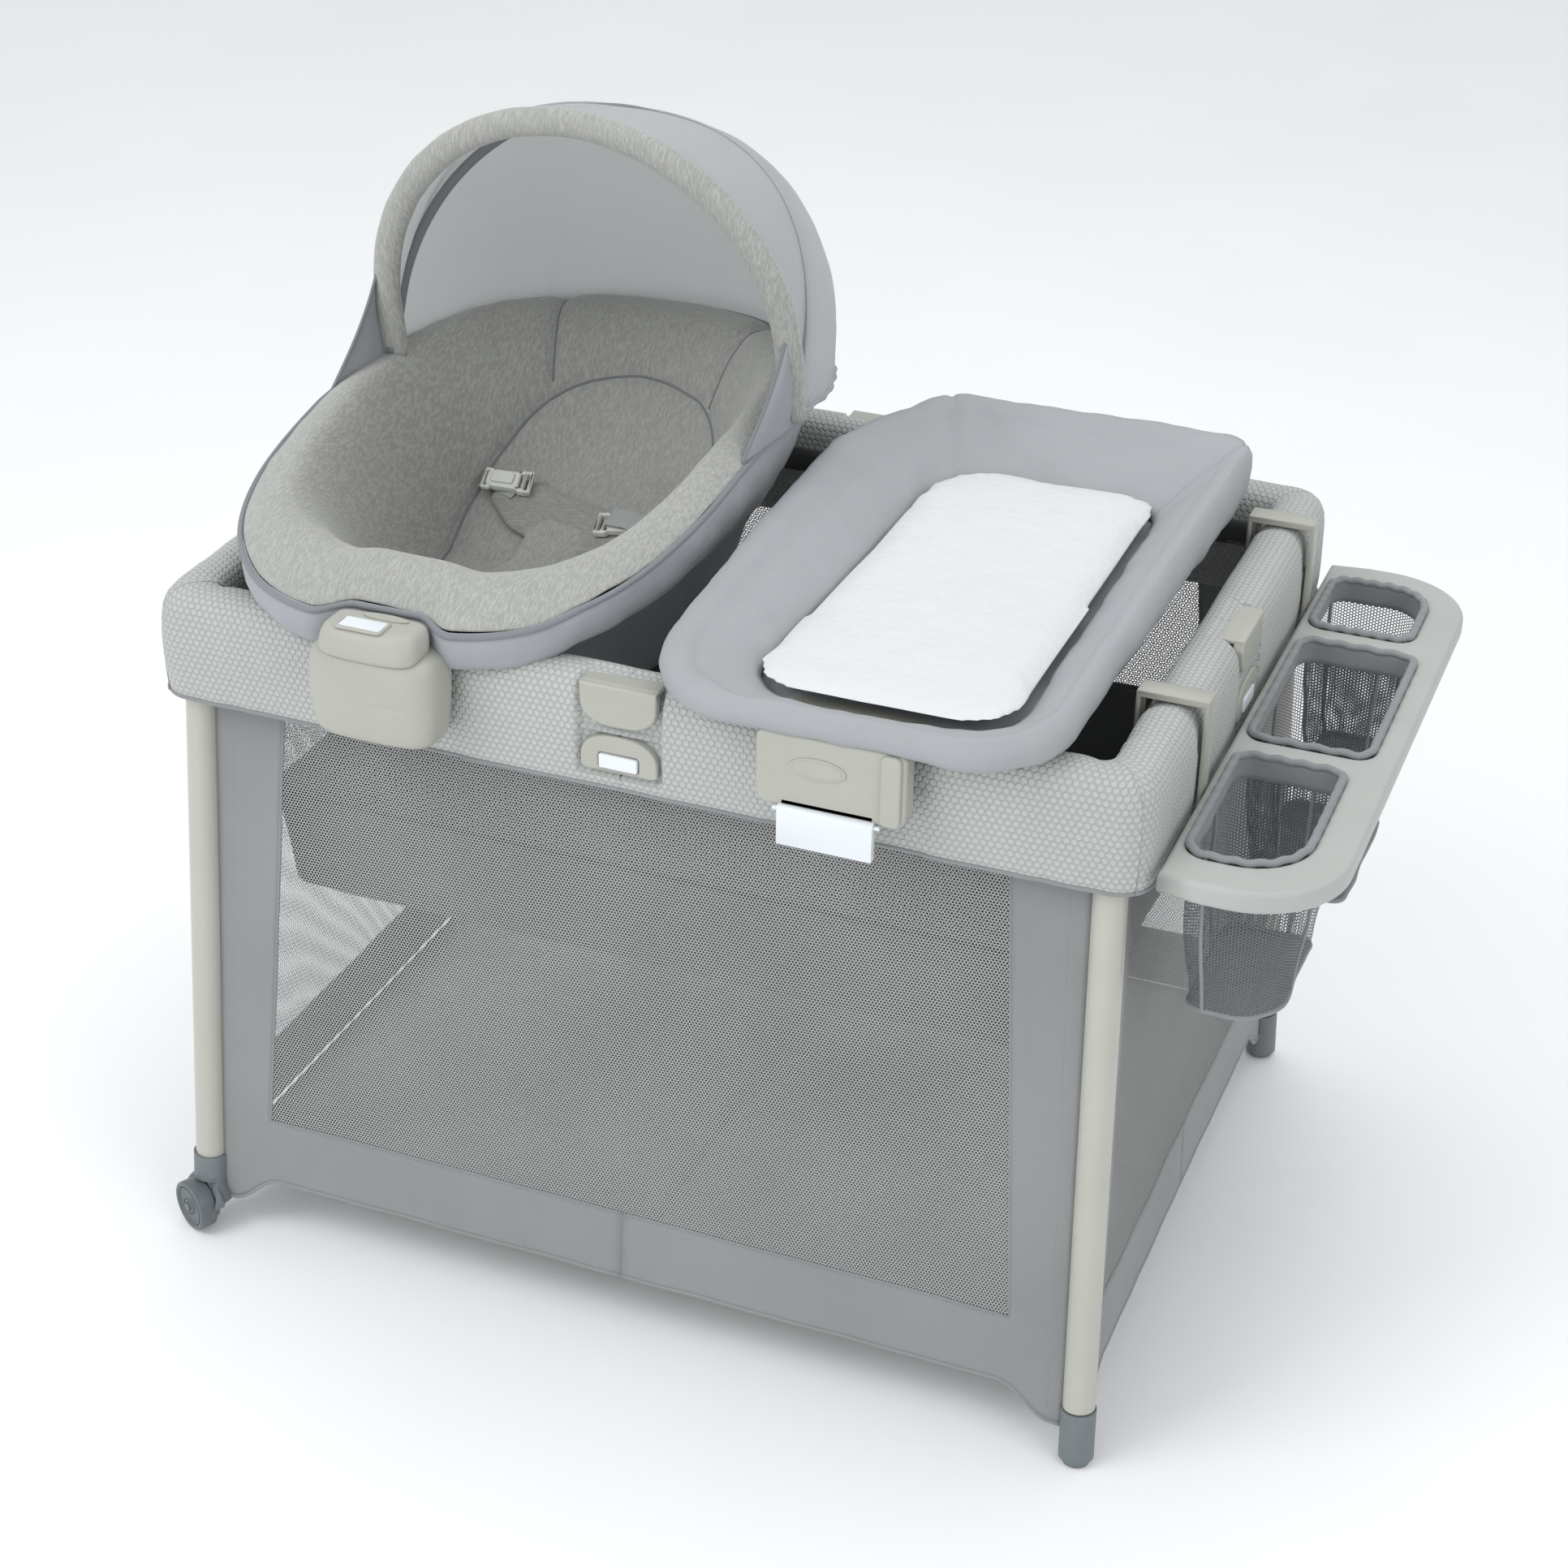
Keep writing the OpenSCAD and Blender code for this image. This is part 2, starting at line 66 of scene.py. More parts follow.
class M:
    def __init__(self, name, rough=0.6, sheen=0.0, metal=0.0, coat=0.0, spec=0.5):
        self.m = bpy.data.materials.new(name)
        self.m.use_nodes = True
        self.t = self.m.node_tree
        self.b = self.t.nodes["Principled BSDF"]
        self.out = self.t.nodes["Material Output"]
        self.b.inputs["Roughness"].default_value = rough
        self.b.inputs["Metallic"].default_value = metal
        self.b.inputs["Specular IOR Level"].default_value = spec
        if sheen:
            self.b.inputs["Sheen Weight"].default_value = sheen
            self.b.inputs["Sheen Roughness"].default_value = 0.5
        if coat:
            self.b.inputs["Coat Weight"].default_value = coat
            self.b.inputs["Coat Roughness"].default_value = 0.25

    def n(self, kind, **kw):
        x = self.t.nodes.new(kind)
        for k, v in kw.items():
            setattr(x, k, v)
        return x

    def link(self, a, b):
        self.t.links.new(a, b)

    def math(self, op, a, b=None, clamp=False):
        x = self.n("ShaderNodeMath", operation=op, use_clamp=clamp)
        for i, v in enumerate((a, b)):
            if v is None:
                continue
            if isinstance(v, (int, float)):
                x.inputs[i].default_value = v
            else:
                self.link(v, x.inputs[i])
        return x.outputs[0]

    def vmath(self, op, a, b=None):
        x = self.n("ShaderNodeVectorMath", operation=op)
        for i, v in enumerate((a, b)):
            if v is None:
                continue
            if isinstance(v, (tuple, list)):
                x.inputs[i].default_value = v
            else:
                self.link(v, x.inputs[i])
        return x.outputs[1] if op in ("LENGTH", "DOT_PRODUCT", "DISTANCE") else x.outputs[0]

    def obj(self, scale=(1, 1, 1)):
        return self.vmath("MULTIPLY", self.n("ShaderNodeTexCoord").outputs["Object"], scale)

    def cloth(self, scale=(1, 1, 1)):
        return self.vmath("MULTIPLY", self.n("ShaderNodeAttribute", attribute_name="cloth").outputs["Vector"], scale)

    def noise(self, vec, scale=1.0, detail=2.0, rough=0.5):
        x = self.n("ShaderNodeTexNoise")
        self.link(vec, x.inputs["Vector"])
        x.inputs["Scale"].default_value = scale
        x.inputs["Detail"].default_value = detail
        x.inputs["Roughness"].default_value = rough
        return x.outputs["Fac"]

    def ramp(self, fac, stops):
        x = self.n("ShaderNodeValToRGB")
        self.link(fac, x.inputs["Fac"])
        e = x.color_ramp.elements
        while len(e) < len(stops):
            e.new(0.5)
        for i, (p, c) in enumerate(stops):
            e[i].position = p
            e[i].color = c
        return x.outputs["Color"]

    def mixc(self, fac, a, b):
        x = self.n("ShaderNodeMix", data_type="RGBA")
        if isinstance(fac, (int, float)):
            x.inputs["Factor"].default_value = fac
        else:
            self.link(fac, x.inputs["Factor"])
        for k, v in (("A", a), ("B", b)):
            s = [i for i in x.inputs if i.name == k and i.type == "RGBA"][0]
            if isinstance(v, tuple):
                s.default_value = v
            else:
                self.link(v, s)
        return [o for o in x.outputs if o.type == "RGBA"][0]

    def color(self, c):
        self.link(c, self.b.inputs["Base Color"])

    def rough(self, lo, hi, fac):
        x = self.n("ShaderNodeMapRange")
        self.link(fac, x.inputs["Value"])
        x.inputs["To Min"].default_value = lo
        x.inputs["To Max"].default_value = hi
        self.link(x.outputs["Result"], self.b.inputs["Roughness"])

    def bump(self, h, dist=0.0005, strength=0.5, prev=None):
        x = self.n("ShaderNodeBump")
        self.link(h, x.inputs["Height"])
        x.inputs["Distance"].default_value = dist
        x.inputs["Strength"].default_value = strength
        if prev is not None:
            self.link(prev, x.inputs["Normal"])
        self.link(x.outputs["Normal"], self.b.inputs["Normal"])
        return x.outputs["Normal"]

    def hexd(self, vec, pitch):
        """distance, in pitches, to the nearest point of a staggered lattice"""
        s = self.vmath("MULTIPLY", vec, (1 / pitch, 1 / (pitch * 1.732), 0))
        ds = []
        for o in ((0.0, 0.0, 0.0), (0.5, 0.5, 0.0)):
            q = self.vmath("ADD", s, o)
            q = self.vmath("FRACTION", q)
            q = self.vmath("SUBTRACT", q, (0.5, 0.5, 0.0))
            q = self.vmath("MULTIPLY", q, (1.0, 1.732, 0.0))
            ds.append(self.vmath("LENGTH", q))
        return self.math("MINIMUM", ds[0], ds[1])


def plain_weave(name, hexc, rough=0.8, sheen=0.15, var=0.07, grain=1100.0, bump=0.35, crumple=0.0):
    m = M(name, rough, sheen, spec=0.3)
    v = m.obj()
    big = m.noise(v, 7.0, 3.0)
    fine = m.noise(v, grain, 1.0)
    c = m.ramp(big, [(0.25, shade(hexc, 1 - var)), (0.75, shade(hexc, 1 + var))])
    c = m.mixc(m.math("MULTIPLY", fine, 0.35), c, shade(hexc, 0.72))
    m.color(c)
    m.rough(rough - 0.1, rough + 0.08, fine)
    p = None
    if crumple:
        p = m.bump(m.noise(m.obj((1, 1, 0.6)), 22.0, 4.0, 0.6), crumple, 0.6)
    m.bump(fine, 0.0004, bump, p)
    return m.m


def heather(name, a, b, dirs=(420, 420, 62)):
    m = M(name, 0.9, 0.3, spec=0.2)
    s1 = m.noise(m.obj(dirs), 1.0, 2.0, 0.6)
    s2 = m.noise(m.obj(tuple(x * 2.3 for x in dirs)), 1.0, 2.0, 0.6)
    big = m.noise(m.obj(), 5.0, 2.0)
    mix = m.math("ADD", m.math("MULTIPLY", s1, 0.6), m.math("MULTIPLY", s2, 0.4))
    c = m.ramp(mix, [(0.33, shade(a, 0.93)), (0.47, lin(a)), (0.56, lin(b)), (0.68, shade(b, 1.06))])
    c = m.mixc(m.math("MULTIPLY", big, 0.25), c, shade(a, 0.92))
    m.color(c)
    m.rough(0.8, 0.98, s2)
    knit = m.noise(m.obj(), 900.0, 1.0)
    p = m.bump(m.noise(m.obj(), 30.0, 3.0), 0.0016, 0.35)
    m.bump(m.math("ADD", knit, mix), 0.0005, 0.5, p)
    return m.m


def net(name, hexc, pitch=0.0026, hole=0.34, rough=0.7):
    m = M(name, rough, 0.1, spec=0.3)
    d = m.hexd(m.cloth(), pitch)
    x = m.n("ShaderNodeMapRange")
    m.link(d, x.inputs["Value"])
    x.inputs["From Min"].default_value = hole - 0.06
    x.inputs["From Max"].default_value = hole + 0.06
    m.link(x.outputs["Result"], m.b.inputs["Alpha"])
    c = m.ramp(m.noise(m.obj(), 9.0, 3.0), [(0.3, shade(hexc, 0.9)), (0.7, shade(hexc, 1.1))])
    c = m.mixc(d, shade(hexc, 0.8), c)
    m.color(c)
    m.bump(d, 0.0006, 0.6)
    m.m.use_transparent_shadow = True if hasattr(m.m, "use_transparent_shadow") else None
    return m.m


def embossed(name, hexc):
    m = M(name, 0.72, 0.15, spec=0.35)
    d = m.hexd(m.cloth(), 0.0072)
    groove = m.n("ShaderNodeMapRange")
    m.link(d, groove.inputs["Value"])
    groove.inputs["From Min"].default_value = 0.30
    groove.inputs["From Max"].default_value = 0.56
    groove.interpolation_type = "SMOOTHSTEP"
    g = groove.outputs["Result"]
    big = m.noise(m.obj(), 6.0, 3.0)
    c = m.ramp(big, [(0.3, shade(hexc, 0.95)), (0.7, shade(hexc, 1.05))])
    # painted shade: the grooves between the embossed cells are darkened in the colour
    c = m.mixc(m.math("MULTIPLY", g, 0.34), c, shade(hexc, 0.68))
    m.color(c)
    m.rough(0.62, 0.82, g)
    p = m.bump(m.math("SUBTRACT", 1.0, g), 0.0011, 0.9)
    m.bump(m.noise(m.obj(), 1000.0, 1.0), 0.0003, 0.25, p)
    return m.m


def plastic(name, hexc, rough=0.42, coat=0.0, var=0.03, grain=700.0, edge_tint=0.12):
    m = M(name, rough, 0.0, coat=coat)
    big = m.noise(m.obj(), 14.0, 4.0)
    fine = m.noise(m.obj(), grain, 2.0)
    c = m.ramp(big, [(0.3, shade(hexc, 1 - var)), (0.7, shade(hexc, 1 + var))])
    geo = m.n("ShaderNodeNewGeometry")
    # lighter along convex edges: the colour is mixed towards a lighter tone where pointiness is high
    edge = m.ramp(geo.outputs["Pointiness"], [(0.5, (0, 0, 0, 1)), (0.62, (1, 1, 1, 1))])
    c = m.mixc(m.math("MULTIPLY", edge, edge_tint), c, shade(hexc, 1.35))
    m.color(c)
    m.rough(rough - 0.05, rough + 0.1, big)
    m.bump(fine, 0.00025, 0.25)
    return m.m


PANEL = plain_weave("panel_cloth", "8A8C8C", crumple=0.0022)
NET = net("wall_net", "ABADAC", 0.0034, 0.37)
NET_DARK = net("bassinet_net", "A3A5A4", 0.0034, 0.42)
NET_BASKET = net("basket_net", "6A6D70", 0.0034, 0.36)
COVER = embossed("cover_cloth", "B0B3B0")
PIPE = plain_weave("piping_cloth", "8A8C8E")
DARK = plain_weave("dark_cloth", "626463", var=0.05)
BLACK = plain_weave("binding_cloth", "4C4E4D")
FLOORC = plain_weave("floor_cloth", "A6A8A7", crumple=0.001)
HEATHER = heather("seat_heather", "989995", "A8A9A4", (620, 120, 90))
HEATHER_BACK = heather("seat_heather_back", "90918D", "9FA09B", (95, 620, 620))
SHELLC = plain_weave("seat_shell_cloth", "9C9EA3", var=0.05, crumple=0.0025)
SEATPIPE = plain_weave("seat_piping", "7F8186")
def letting_light(mat, hexc, fac):
    t = mat.node_tree
    b, o = t.nodes["Principled BSDF"], t.nodes["Material Output"]
    tr = t.nodes.new("ShaderNodeBsdfTranslucent")
    tr.inputs["Color"].default_value = lin(hexc)
    mx = t.nodes.new("ShaderNodeMixShader")
    mx.inputs[0].default_value = fac
    t.links.new(b.outputs[0], mx.inputs[1])
    t.links.new(tr.outputs[0], mx.inputs[2])
    t.links.new(mx.outputs[0], o.inputs[0])


CANOPY = plain_weave("canopy_outer_cloth", "C8CACD", rough=0.7, var=0.04, crumple=0.002)
LINING = plain_weave("canopy_lining", "DEDEDC", rough=0.75, var=0.03, crumple=0.0015)
letting_light(CANOPY, "E4E6E8", 0.5)
letting_light(LINING, "F0F0EF", 0.55)
CHSIDE = plain_weave("changer_side_cloth", "A0A3A6", rough=0.62, sheen=0.05, var=0.04, crumple=0.002)
CHTOP = plain_weave("changer_top_cloth", "D8DADC", rough=0.45, sheen=0.05, var=0.02, crumple=0.006)
WEB = plain_weave("webbing", "A5A9A8", grain=700.0, bump=0.7)
TAUPE = plastic("frame_plastic_mat", "A6A79E")
TUBE = plastic("painted_tube", "ABABA2", rough=0.34, coat=0.25)
SLATE = plastic("slate_plastic", "6C7376", rough=0.45)
WHEEL = plastic("wheel_plastic_mat", "5F6669", rough=0.4)
WHITE = plastic("white_key_plastic", "D9DEE3", rough=0.3, coat=0.2, var=0.01)
TRAY = plastic("tray_plastic_mat", "A8ACA8", rough=0.48)
BUCKLE = plastic("buckle_plastic_mat", "D6D7D1", rough=0.35, coat=0.15, var=0.01)
STEEL = plastic("arm_paint", "8C8F90", rough=0.36, coat=0.2)


# ------------------------------------------------------------------ mesh tools (millimetres in, metres out)
def mk(name, V, F, mat, cloth=None, smooth=True):
    me = bpy.data.meshes.new(name)
    me.from_pydata((np.asarray(V, float) * 0.001).tolist(), [], [tuple(int(i) for i in f) for f in F])
    me.update()
    if smooth:
        me.polygons.foreach_set("use_smooth", [True] * len(me.polygons))
    me.materials.append(mat)
    if cloth is not None:
        a = me.attributes.new("cloth", "FLOAT_VECTOR", "POINT")
        c = np.zeros((len(V), 3), np.float32)
        c[:, :2] = np.asarray(cloth, np.float32).reshape(-1, 2) * 0.001
        a.data.foreach_set("vector", c.ravel())
    ob = bpy.data.objects.new(name, me)
    sc.collection.objects.link(ob)
    return ob


def gF(n, m, cu=False, cv=False, off=0):
    I, J = np.meshgrid(np.arange(n if cu else n - 1), np.arange(m if cv else m - 1), indexing="ij")
    I2, J2 = (I + 1) % n, (J + 1) % m
    return np.stack([I * m + J, I2 * m + J, I2 * m + J2, I * m + J2], -1).reshape(-1, 4) + off


def arc(P):
    """cumulative length along both grid directions, for the weave"""
    u = np.concatenate([np.zeros((1, P.shape[1])), np.cumsum(np.linalg.norm(np.diff(P, axis=0), axis=2), 0)])
    v = np.concatenate([np.zeros((P.shape[0], 1)), np.cumsum(np.linalg.norm(np.diff(P, axis=1), axis=2), 1)], 1)
    return np.stack([np.broadcast_to(u.mean(1, keepdims=True), u.shape), np.broadcast_to(v.mean(0, keepdims=True), v.shape)], -1)


def solid(ob, t, offset=0.0):
    s = ob.modifiers.new("thick", "SOLIDIFY")
    s.thickness, s.offset = t * 0.001, offset
    s.use_even_offset = False
    return ob


def subd(ob, k=1):
    s = ob.modifiers.new("smooth", "SUBSURF")
    s.levels = s.render_levels = k
    return ob


def grid(name, P, mat, cu=False, cv=False, t=None, offset=0.0, cloth=None):
    n, m = P.shape[:2]
    ob = mk(name, P.reshape(-1, 3), gF(n, m, cu, cv), mat, arc(P) if cloth is None else cloth)
    return solid(ob, t, offset) if t else ob


def loft(name, P, mat, caps=(True, True)):
    """rings P[n, m, 3], closed round each ring, with end caps fanned to each end ring's centre"""
    n, m = P.shape[:2]
    V = P.reshape(-1, 3).tolist()
    F = gF(n, m, False, True).tolist()
    C = arc(P).reshape(-1, 2).tolist()
    for k, on in ((0, caps[0]), (n - 1, caps[1])):
        if on:
            c = P[k].mean(0)
            V.append(c)
            C.append([0, 0])
            i = len(V) - 1
            for j in range(m):
                a, b = k * m + j, k * m + (j + 1) % m
                F.append((i, a, b) if k == 0 else (i, b, a))
    return mk(name, V, F, mat, C)


def sweep(pts, prof, closed=False, up=(0, 0, 1)):
    """profile points (a, b) carried along pts: a sideways, b towards up"""
    p = np.asarray(pts, float)
    tan = np.roll(p, -1, 0) - np.roll(p, 1, 0) if closed else np.gradient(p, axis=0)
    tan /= np.linalg.norm(tan, axis=1)[:, None] + 1e-12
    up = np.asarray(up, float)
    side = np.cross(tan, up)
    bad = np.linalg.norm(side, axis=1) < 0.15
    side[bad] = np.cross(tan[bad], (0.0, 1.0, 0.01))
    for i in range(1, len(side)):
        if side[i] @ side[i - 1] < 0:
            side[i] = -side[i]
    side /= np.linalg.norm(side, axis=1)[:, None]
    nrm = np.cross(side, tan)
    prof = np.asarray(prof, float)
    return p[:, None] + side[:, None] * prof[None, :, :1] + nrm[:, None] * prof[None, :, 1:]


def tube(name, pts, r, mat, closed=False, n=10, r2=None, up=(0, 0, 1)):
    a = np.linspace(0, 2 * np.pi, n, endpoint=False)
    P = sweep(pts, np.c_[np.cos(a) * r, np.sin(a) * (r if r2 is None else r2)], closed, up)
    if closed:
        return mk(name, P.reshape(-1, 3), gF(len(P), n, True, True), mat, arc(P))
    return loft(name, P, mat)


def ribbon(name, pts, w, t, mat, up=(0, 0, 1), closed=False):
    a = np.linspace(0, 2 * np.pi, 16, endpoint=False)
    c, s = np.cos(a), np.sin(a)
    pr = np.c_[np.sign(c) * np.abs(c) ** 0.35 * w / 2, np.sign(s) * np.abs(s) ** 0.6 * t / 2]
    P = sweep(pts, pr, closed, up)
    if closed:
        return mk(name, P.reshape(-1, 3), gF(len(P), 16, True, True), mat, arc(P))
    return loft(name, P, mat)


def plate(name, loops, th, bev, mat, M4, res=3):
    """flat outlines (first outer, then holes) given thickness th along local z, with rounded edges"""
    cu = bpy.data.curves.new(name, "CURVE")
    cu.dimensions = "2D"
    cu.fill_mode = "BOTH"
    for lp_ in loops:
        s = cu.splines.new("POLY")
        s.points.add(len(lp_) - 1)
        for i, (x, y) in enumerate(lp_):
            s.points[i].co = (x * 0.001, y * 0.001, 0, 1)
        s.use_cyclic_u = True
    cu.extrude = max(0.0001, (th / 2 - bev) * 0.001)
    cu.bevel_depth = bev * 0.001
    cu.bevel_resolution = res
    cu.offset = -bev * 0.001
    tmp = bpy.data.objects.new(name + "_c", cu)
    sc.collection.objects.link(tmp)
    bpy.context.view_layer.update()
    me = bpy.data.meshes.new_from_object(tmp.evaluated_get(bpy.context.evaluated_depsgraph_get()))
    bpy.data.objects.remove(tmp)
    me.transform(M4)
    bm = bmesh.new()
    bm.from_mesh(me)
    bmesh.ops.remove_doubles(bm, verts=bm.verts, dist=1e-6)
    bmesh.ops.recalc_face_normals(bm, faces=bm.faces)
    bm.to_mesh(me)
    bm.free()
    me.materials.clear()
    me.materials.append(mat)
    me.name = name
    ob = bpy.data.objects.new(name, me)
    sc.collection.objects.link(ob)
    me.polygons.foreach_set("use_smooth", [True] * len(me.polygons))
    w = ob.modifiers.new("wn", "WEIGHTED_NORMAL")
    return ob


def basis(x, y, z, o):
    """local axes x, y, z (unit) and origin o in mm"""
    m = Matrix(((x[0], y[0], z[0], o[0] * 0.001), (x[1], y[1], z[1], o[1] * 0.001), (x[2], y[2], z[2], o[2] * 0.001), (0, 0, 0, 1)))
    return m


FRONT = lambda x, y, z: basis((1, 0, 0), (0, 0, 1), (0, -1, 0), (x, y, z))   # local x right, y up, z towards the front


def rrect(x0, x1, y0, y1, r, k=8):
    if not hasattr(r, "__len__"):
        r = (r,) * 4
    out = []
    for (cx, cy, a0, rr) in ((x1 - r[0], y1 - r[0], 0, r[0]), (x0 + r[1], y1 - r[1], 90, r[1]), (x0 + r[2], y0 + r[2], 180, r[2]), (x1 - r[3], y0 + r[3], 270, r[3])):
        for a in np.radians(np.linspace(a0, a0 + 90, k)):
            out.append((cx + rr * math.cos(a), cy + rr * math.sin(a)))
    return out


def ring_rr(hx, hy, r, z, cx=0.0, cy=0.0, n=160):
    """n points round a rounded rectangle, evenly by angle of the perimeter"""
    base = rrect(cx - hx, cx + hx, cy - hy, cy + hy, r, 24)
    p = np.array(base + base[:1])
    d = np.r_[0, np.cumsum(np.linalg.norm(np.diff(p, axis=0), axis=1))]
    s = np.linspace(0, d[-1], n, endpoint=False)
    q = np.c_[np.interp(s, d, p[:, 0]), np.interp(s, d, p[:, 1])]
    return np.c_[q, np.full(n, z) if np.isscalar(z) else z]


def wob(P, amp, size, seed=0.0):
    """smooth noise offsets for every point of a grid"""
    q = P.reshape(-1, 3)
    return np.array([noise.noise(Vector((x / size + seed, y / size, z / size))) for x, y, z in q]).reshape(P.shape[:2]) * amp


def nrm(P, cu=False, cv=False):
    du = np.roll(P, -1, 0) - np.roll(P, 1, 0) if cu else np.gradient(P, axis=0)
    dv = np.roll(P, -1, 1) - np.roll(P, 1, 1) if cv else np.gradient(P, axis=1)
    k = np.cross(du, dv)
    return k / (np.linalg.norm(k, axis=2)[..., None] + 1e-12)


def sm(x):
    x = np.clip(x, 0, 1)
    return x * x * (3 - 2 * x)


def area(ob):
    return sum(p.area for p in ob.data.polygons)


def sheet(ob, w, l, closed=False):
    """works out a sheet's flat width and length in mm, grown to its cut area; the result is not kept"""
    a = area(ob) / (2 if closed else 1)
    w, l = w * 0.001, l * 0.001
    if a > w * l:
        k = math.sqrt(a / (w * l)) * 1.001
        w, l = w * k, l * k


def round_edges(node, w, mat, ang=35):
    o = N[node]
    o.data.materials.clear()
    o.data.materials.append(mat)
    wl = o.modifiers.new("weld", "WELD")
    wl.merge_threshold = 0.00002
    b = o.modifiers.new("round", "BEVEL")
    b.width, b.segments, b.limit_method, b.angle_limit = w * 0.001, 3, "ANGLE", math.radians(ang)
    b.use_clamp_overlap = True
    o.data.polygons.foreach_set("use_smooth", [True] * len(o.data.polygons))
    b.harden_normals = True


def paint(node, mat):
    N[node].data.materials.clear()
    N[node].data.materials.append(mat)


# ------------------------------------------------------------------ camera, light, floor
def camera():
    th, ps, ro = 0.515, -0.377, 0.013
    d = Vector((math.sin(ps) * math.cos(th), math.cos(ps) * math.cos(th), -math.sin(th)))
    r = Vector((math.cos(ps), -math.sin(ps), 0))
    u = r.cross(d)
    rr_ = r * math.cos(ro) + u * math.sin(ro)
    uu = -r * math.sin(ro) + u * math.cos(ro)
    cam = bpy.data.cameras.new("camera")
    cam.lens, cam.sensor_width, cam.clip_start, cam.clip_end = 65.70, 36.0, 0.05, 50
    o = bpy.data.objects.new("camera", cam)
    o.matrix_world = Matrix(((rr_.x, uu.x, -d.x, 0.996), (rr_.y, uu.y, -d.y, -2.456), (rr_.z, uu.z, -d.z, 1.955), (0, 0, 0, 1)))
    sc.collection.objects.link(o)
    sc.camera = o


def lights():
    w = bpy.data.worlds.new("world")
    w.use_nodes = True
    w.node_tree.nodes["Background"].inputs["Color"].default_value = (0.96, 0.98, 1.0, 1)
    w.node_tree.nodes["Background"].inputs["Strength"].default_value = 0.8
    sc.world = w
    for name, loc, size, e in (("key", (-2.2, -2.6, 3.6), 2.2, 62), ("fill", (2.8, -1.6, 2.2), 2.0, 20), ("low", (-0.6, -3.4, 0.9), 1.8, 16), ("top", (0.2, 0.8, 3.6), 2.6, 30)):
        l = bpy.data.lights.new(name, "AREA")
        l.size, l.energy = size, e
        o = bpy.data.objects.new(name, l)
        o.location = loc
        o.rotation_mode = "QUATERNION"
        o.rotation_quaternion = (Vector((0, 0, 0.5)) - Vector(loc)).to_track_quat("-Z", "Y")
        sc.collection.objects.link(o)
    fm = M("studio_floor", 0.9)
    fm.color(fm.ramp(fm.noise(fm.obj(), 2.0, 2.0), [(0.3, (0.93, 0.93, 0.935, 1)), (0.7, (0.95, 0.95, 0.955, 1))]))
    P = np.array([[[x, y, -0.6] for y in np.linspace(-9000, 9000, 12)] for x in np.linspace(-9000, 9000, 12)])
    fl = grid("studio_floor", P, fm.m)


camera()
lights()


# ------------------------------------------------------------------ frame solids that stay
for c in ("fl", "fr", "bl", "br"):
    paint("leg_tube_" + c, TUBE)
    round_edges("corner_bracket_" + c, 2.0, TAUPE)
    paint("floor_arm_" + c, STEEL)
for n_ in ("foot_fr", "foot_br"):
    round_edges(n_, 1.2, SLATE)
for n_ in ("caster_housing_fl", "caster_housing_bl"):
    round_edges(n_, 1.2, SLATE)
for n_ in ("caster_wheel_fl", "caster_wheel_bl"):
    round_edges(n_, 2.0, WHEEL)
round_edges("hub_housing", 1.5, SLATE)
for n_ in ("front_l", "front_r", "back_l", "back_r", "left_f", "left_b", "right_f", "right_b"):
    paint("half_rail_" + n_, TUBE)
for n_ in ("front", "back", "left", "right"):
    round_edges("release_" + n_, 1.5, WHITE)
round_edges("pod_button", 1.5, WHITE)
round_edges("changer_lever", 1.5, WHITE)
round_edges("seat_rear_hook", 1.5, TAUPE)
round_edges("changer_rear_hook", 1.5, TAUPE)
round_edges("organizer_hooks", 1.5, TAUPE)


# ------------------------------------------------------------------ yard walls
def lx(z):
    return 490 - 22 * z / 640


def ly(z):
    return 378 - 48 * z / 640


